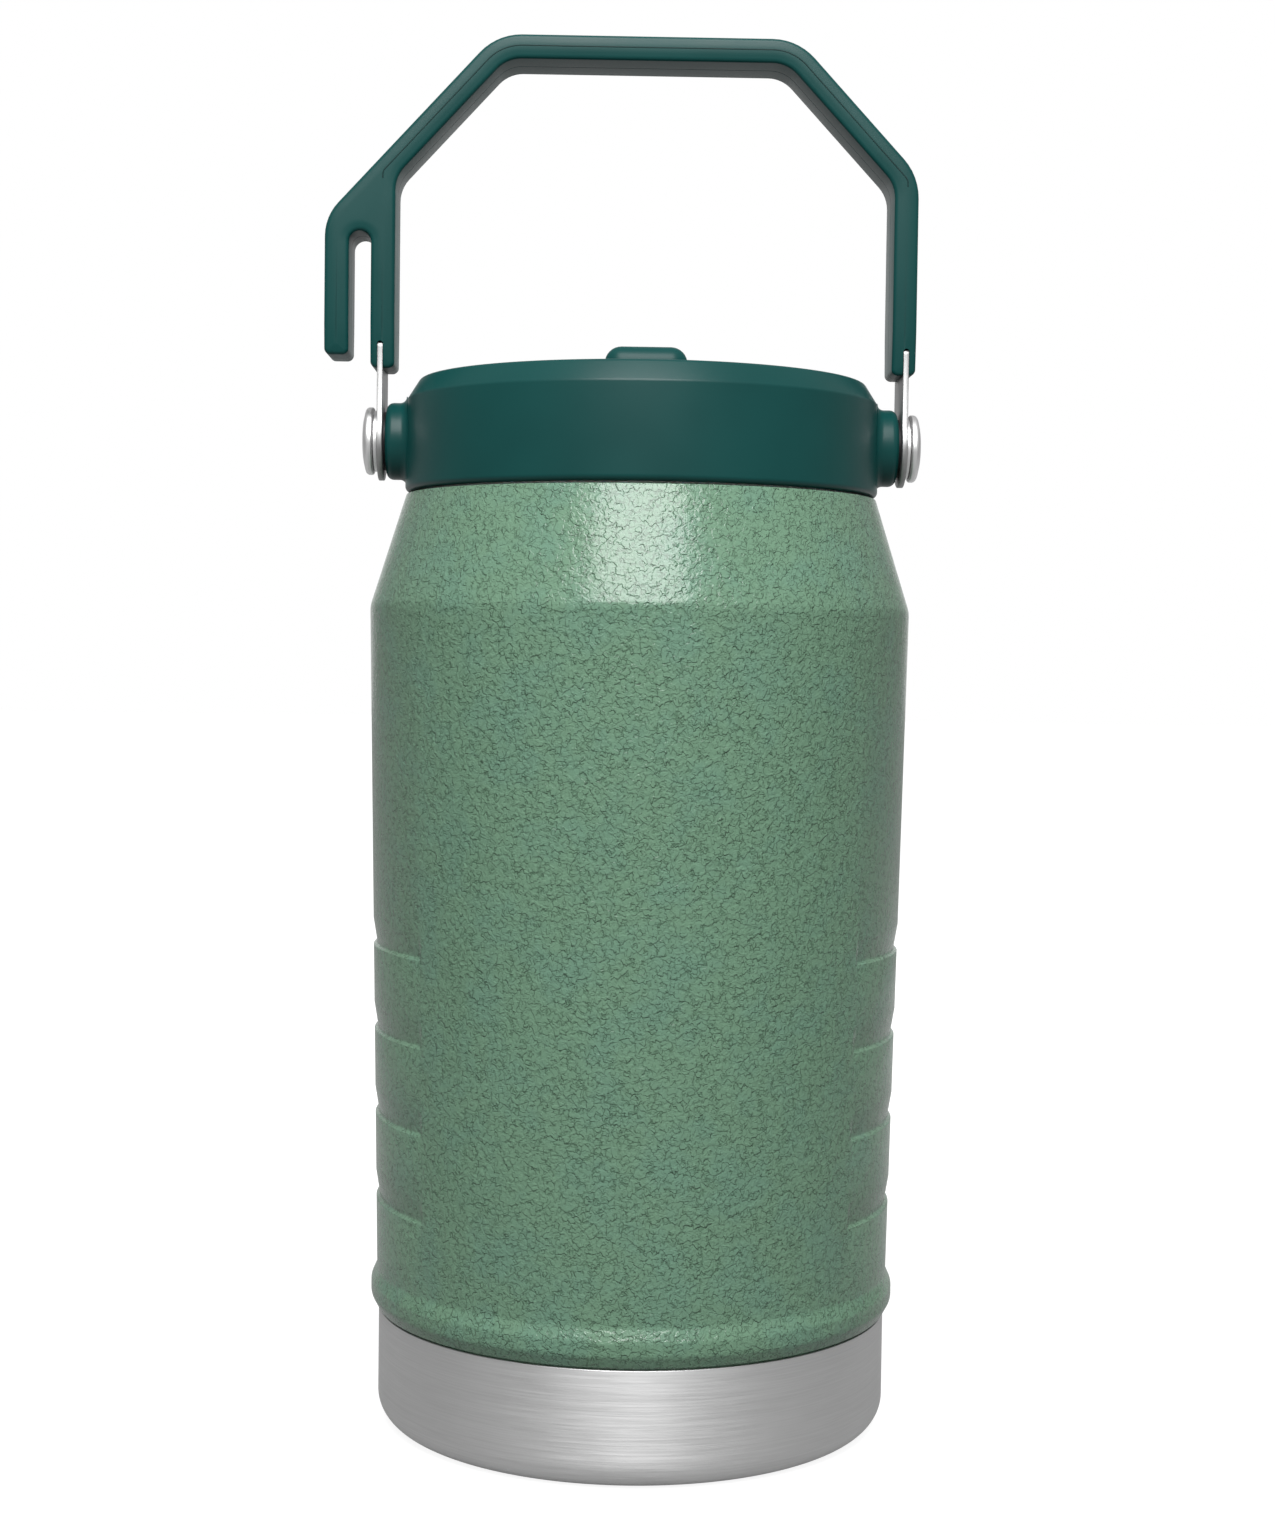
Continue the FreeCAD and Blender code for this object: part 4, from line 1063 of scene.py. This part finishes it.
def grip_layers(sizes):
    """Layers of the grip from front to back: crowned faces, rounded edges and the parting line half way."""
    half = grip_high.y
    middle = sizes.thickness / 2 - 0.15 * MM
    face = []
    for k in range(4, 0, -1):
        share = k / 4
        inset = sizes.edge_in + (middle - sizes.edge_in) * share
        face.append((half - sizes.crown * (1 - share) ** 2, inset))
    deep = sizes.edge_deep
    edge = [(half - deep + (deep - sizes.crown) * math.sin(math.pi / 2 * k / 6),
             sizes.edge_in * (1 - math.cos(math.pi / 2 * k / 6))) for k in range(6, -1, -1)]
    line = sizes.parting
    groove = [(2 * line, 0.0), (line, 0.0), (0.0, line)]
    front = face + edge + groove
    return [(-y, inset) for y, inset in front] + [(y, inset) for y, inset in reversed(front[:-1])]


class JUG_OT_bail_grip(bpy.types.Operator):
    """Mould the bail's grip with its fence hook, its fine mould lines and the slots for the strap"""
    bl_idname = "jug.bail_grip"
    bl_label = "Bail grip"

    def execute(self, context):
        sizes = context.scene.jug_bail
        bm = bmesh.new()
        stacked(bm, grip_corners(sizes), grip_layers(sizes), facing)
        taper_z = grip_low.z + sizes.limb_taper_up
        everything = list(bm.verts) + list(bm.edges) + list(bm.faces)
        bmesh.ops.bisect_plane(bm, geom=everything, plane_co=(0, 0, taper_z), plane_no=(0, 0, 1), dist=1e-7)
        for vert in bm.verts:
            below = max(taper_z - vert.co.z, 0.0) / sizes.limb_taper_up
            vert.co.y *= 1 - below * sizes.limb_taper_in / grip_high.y
        grip = make_object("carry_grip", bm)
        for side in SIDES.values():
            cut_with(grip, self.strap_cutter(sizes, side))
        grip.data.shade_smooth()
        grip.data.set_sharp_from_angle(angle=SHARP)
        finish(grip, "bail", "grip_plastic", material("grip_plastic"), "bail_grip")
        self.mould_lines(sizes)
        return {"FINISHED"}

    def strap_cutter(self, sizes, side):
        """The room for one leg of the strap, round at its top as seen from the front."""
        gap = sizes.slot_gap
        outer_x = strap_high.x
        near, far = side * (outer_x - sizes.strap_thick - gap), side * (outer_x + gap)
        left, right = min(near, far), max(near, far)
        low_z, top_z = PIVOT_Z, PIVOT_Z + sizes.strap_show + gap
        rounding = (right - left) * 0.49
        corners = [(left, low_z), (right, low_z), (right, top_z, rounding), (left, top_z, rounding)]
        bm = bmesh.new()
        half = grip_high.y + MM
        stacked(bm, corners, [(-half, 0.0), (half, 0.0)], facing)
        return make_object("strap_cutter", bm)

    def mould_lines(self, sizes):
        """Fine lines, nearly flush, that follow the arch on its front and back faces, in darker plastic that
        is painted shade along the mould line.
        """
        inset = sizes.mould_line_in
        start_z = PIVOT_Z + sizes.knee_up - inset
        right = arch_corners(sizes, inset, start_z)
        corners = right + mirrored(right)
        path = corner_arcs(corners, step=math.radians(4))
        lines = []
        for name, face in (("front", -1), ("back", 1)):
            y = face * (grip_high.y - sizes.mould_line_sunk)
            points = [Vector((p.x, y, p.y)) for p in path]
            lines.append(fine_line("line_" + name, points, sizes.mould_line, material("seam_plastic")))
        line = join_objects("mould_lines", lines)
        finish(line, "bail", "grip_plastic", material("seam_plastic"))


class JUG_OT_bail_metal(bpy.types.Operator):
    """Dress the bail's strap, its washers and the pivot screws"""
    bl_idname = "jug.bail_metal"
    bl_label = "Bail metalwork"

    def execute(self, context):
        edge = context.scene.jug_bail.metal_edge
        strap = dressed("bail_strap", "strap", edge)
        finish(strap, "bail", "strap_steel", material("satin_steel"), "bail_strap")
        for name, side in SIDES.items():
            self.washer(name, side, edge)
            self.screw(name, side)
        return {"FINISHED"}

    def washer(self, name, side, edge):
        low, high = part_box("outer_washer_right")
        bore = (bush_high.z - bush_low.z) / 2 * 0.66
        outer = (high.z - low.z) / 2
        outline = corner_arcs([(bore, low.x), (outer, low.x, edge), (outer, high.x, edge), (bore, high.x)],
                              step=math.radians(15))
        obj = turned("washer_" + name, outline, even_angles(SMALL_ROUND), on_pivot(side))
        finish(obj, "lid", "screw_steel", material("polished_steel"), "outer_washer_" + name)

    def screw(self, name, side):
        """Domed head with a rolled edge on a plain shank."""
        low, high = screw_low, screw_high
        washer_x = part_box("outer_washer_right")[1].x
        head_r = (high.z - low.z) / 2
        shank_r = (bush_high.z - bush_low.z) / 2 * 0.652
        under_x = washer_x + 0.1 * MM
        rim_x = under_x + 0.7 * (high.x - under_x)
        outline = corner_arcs([
            (0, low.x), (shank_r, low.x, 0.5 * MM), (shank_r, under_x, 0.3 * MM), (head_r, under_x, 0.5 * MM),
            (head_r, rim_x, 1.0 * MM), (head_r * 0.62, high.x, 5.0 * MM), (0, high.x)], step=math.radians(6))
        outline = [Vector((max(p.x, 0.0), p.y)) for p in outline]
        obj = turned("screw_" + name, outline, even_angles(SMALL_ROUND), on_pivot(side))
        finish(obj, "lid", "screw_steel", material("polished_steel"), "pivot_screw_" + name)


# --- Operator: the studio ---
AIM = (0, 0, 0.16)
KEY_PLACE = (-0.02, -0.62, 0.82)
KEY_SIZE = (0.55, 0.65)
BACK_PLACE = (0.35, 0.75, 0.45)
BACK_SIZE = (0.6, 0.6)
FLOOR_SPAN = 6.0
NEAR_GLOSS = 0.4
SENSOR_HEIGHT = 36.0


def shown(nodes, mirrored):
    """Full to the camera and through clear pieces, and the mirrored share in reflections."""
    ray = nodes.add("ShaderNodeLightPath").outputs
    seen = nodes.math("MAXIMUM", ray["Is Camera Ray"], ray["Is Transmission Ray"])
    return nodes.math("MAXIMUM", seen, nodes.math("MULTIPLY", ray["Is Glossy Ray"], mirrored))


class JUG_OT_studio(bpy.types.Operator):
    """Set the white studio, its lamps and the camera"""
    bl_idname = "jug.studio"
    bl_label = "Studio"

    def execute(self, context):
        studio = context.scene.jug_studio
        self.room(context, studio)
        self.floor(studio)
        self.lamp("key_box", KEY_PLACE, KEY_SIZE, studio.key)
        # The back lamp lights the walls and stays out of their reflections.
        self.lamp("back_box", BACK_PLACE, BACK_SIZE, studio.back).visible_glossy = False
        self.camera(context, studio)
        return {"FINISHED"}

    def room(self, context, studio):
        """A dim room that shows as white, and whose white back wall also shows in reflections."""
        world = bpy.data.worlds.new("room")
        context.scene.world = world
        world.use_nodes = True
        nodes = Nodes(world.node_tree)
        toward = nodes.split(nodes.add("ShaderNodeTexCoord").outputs["Generated"])
        behind = nodes.ramp(toward["Y"], 0.86, 0.99)
        overhead = studio.surround + studio.ceiling
        above = nodes.ramp(toward["Z"], 0.0, 1.0, studio.surround, overhead, "LINEAR")
        before = nodes.ramp(toward["Y"], 0.0, -1.0, 0.0, studio.front, "LINEAR")
        dim = nodes.math("ADD", above, before)
        level = nodes.ramp(shown(nodes, behind), 0.0, 1.0, dim, 1.0, "LINEAR")
        background = nodes.tree.nodes["Background"]
        nodes.give(background.inputs["Color"], (1, 1, 1))
        nodes.give(background.inputs["Strength"], level)

    def floor(self, studio):
        """A wide pale floor that looks white and keeps the jug's shadow."""
        mesh = bpy.data.meshes.new("studio_floor")
        span = FLOOR_SPAN
        corners = [(-span, -span, 0), (span, -span, 0), (span, span, 0), (-span, span, 0)]
        mesh.from_pydata(corners, [], [(0, 1, 2, 3)])
        floor = linked("studio_floor", mesh)
        mesh.materials.append(self.pale("floor_white", studio))

    def pale(self, name, studio):
        """Pale surface whose glow reaches full white a little way from the jug."""
        surface = bpy.data.materials.new(name)
        surface.use_nodes = True
        nodes = Nodes(surface.node_tree)
        nodes.tree.nodes.remove(nodes.tree.nodes["Principled BSDF"])
        diffuse = nodes.add("ShaderNodeBsdfDiffuse", {"Color": (studio.floor_grey,) * 3})
        place = nodes.add("ShaderNodeTexCoord").outputs["Object"]
        glow = nodes.ramp(nodes.vector("LENGTH", place), 0.1, 0.3, studio.floor_glow, 1.0)
        gloss = studio.floor_gloss
        behind = nodes.ramp(nodes.split(place)["Y"], -0.2, 0.3, NEAR_GLOSS * gloss, gloss, "LINEAR")
        strength = nodes.math("MULTIPLY", shown(nodes, behind), glow)
        glowing = nodes.add("ShaderNodeEmission", {"Strength": strength})
        whole = nodes.add("ShaderNodeAddShader", {0: diffuse.outputs[0], 1: glowing.outputs[0]})
        nodes.give(nodes.tree.nodes["Material Output"].inputs["Surface"], whole.outputs[0])
        return surface

    def lamp(self, name, place, size, power):
        """Soft box at a place, turned towards the middle of the jug."""
        light = bpy.data.lights.new(name, "AREA")
        light.shape = "RECTANGLE"
        light.size, light.size_y = size
        light.energy = power
        obj = linked(name, light)
        obj.location = place
        obj.rotation_euler = (Vector(AIM) - Vector(place)).to_track_quat("-Z", "Y").to_euler()
        return obj

    def camera(self, context, studio):
        data = bpy.data.cameras.new("camera")
        data.sensor_fit = "VERTICAL"
        data.sensor_height = SENSOR_HEIGHT
        data.lens = studio.lens
        data.clip_start = 0.01
        camera = linked("camera", data)
        heading, distance = studio.heading, studio.distance
        camera.location = (-distance * math.sin(heading), -distance * math.cos(heading), studio.eye_height)
        level = Euler((math.pi / 2 - studio.pitch, 0.0, -heading - studio.pan), "XYZ").to_matrix()
        roll = Euler((0.0, 0.0, studio.roll), "XYZ").to_matrix()
        camera.rotation_euler = (level @ roll).to_euler()
        context.scene.camera = camera
        context.scene.view_settings.view_transform = "Standard"


OPERATORS = (JUG_OT_painted_body, JUG_OT_steel_base, JUG_OT_inner_pieces, JUG_OT_lid_cap, JUG_OT_spout,
             JUG_OT_bail_grip, JUG_OT_bail_metal, JUG_OT_studio)


class JUG_PT_build(bpy.types.Panel):
    """Lists the operators in the order in which they build the jug"""
    bl_idname = "JUG_PT_build"
    bl_label = "Insulated jug"
    bl_space_type = "VIEW_3D"
    bl_region_type = "UI"
    bl_category = "Jug"

    def draw(self, context):
        for operator in OPERATORS:
            self.layout.operator(operator.bl_idname)


def register():
    for group in GROUPS.values():
        bpy.utils.register_class(group)
    for name, group in GROUPS.items():
        setattr(bpy.types.Scene, name, PointerProperty(type=group))
    for operator in OPERATORS:
        bpy.utils.register_class(operator)
    bpy.utils.register_class(JUG_PT_build)


def unregister():
    bpy.utils.unregister_class(JUG_PT_build)
    for operator in reversed(OPERATORS):
        bpy.utils.unregister_class(operator)
    for name, group in reversed(GROUPS.items()):
        delattr(bpy.types.Scene, name)
        bpy.utils.unregister_class(group)


def main():
    """Build every piece in order."""
    register()
    for operator in OPERATORS:
        family, name = operator.bl_idname.split(".")
        getattr(getattr(bpy.ops, family), name)()


if __name__ == "__main__":
    main()
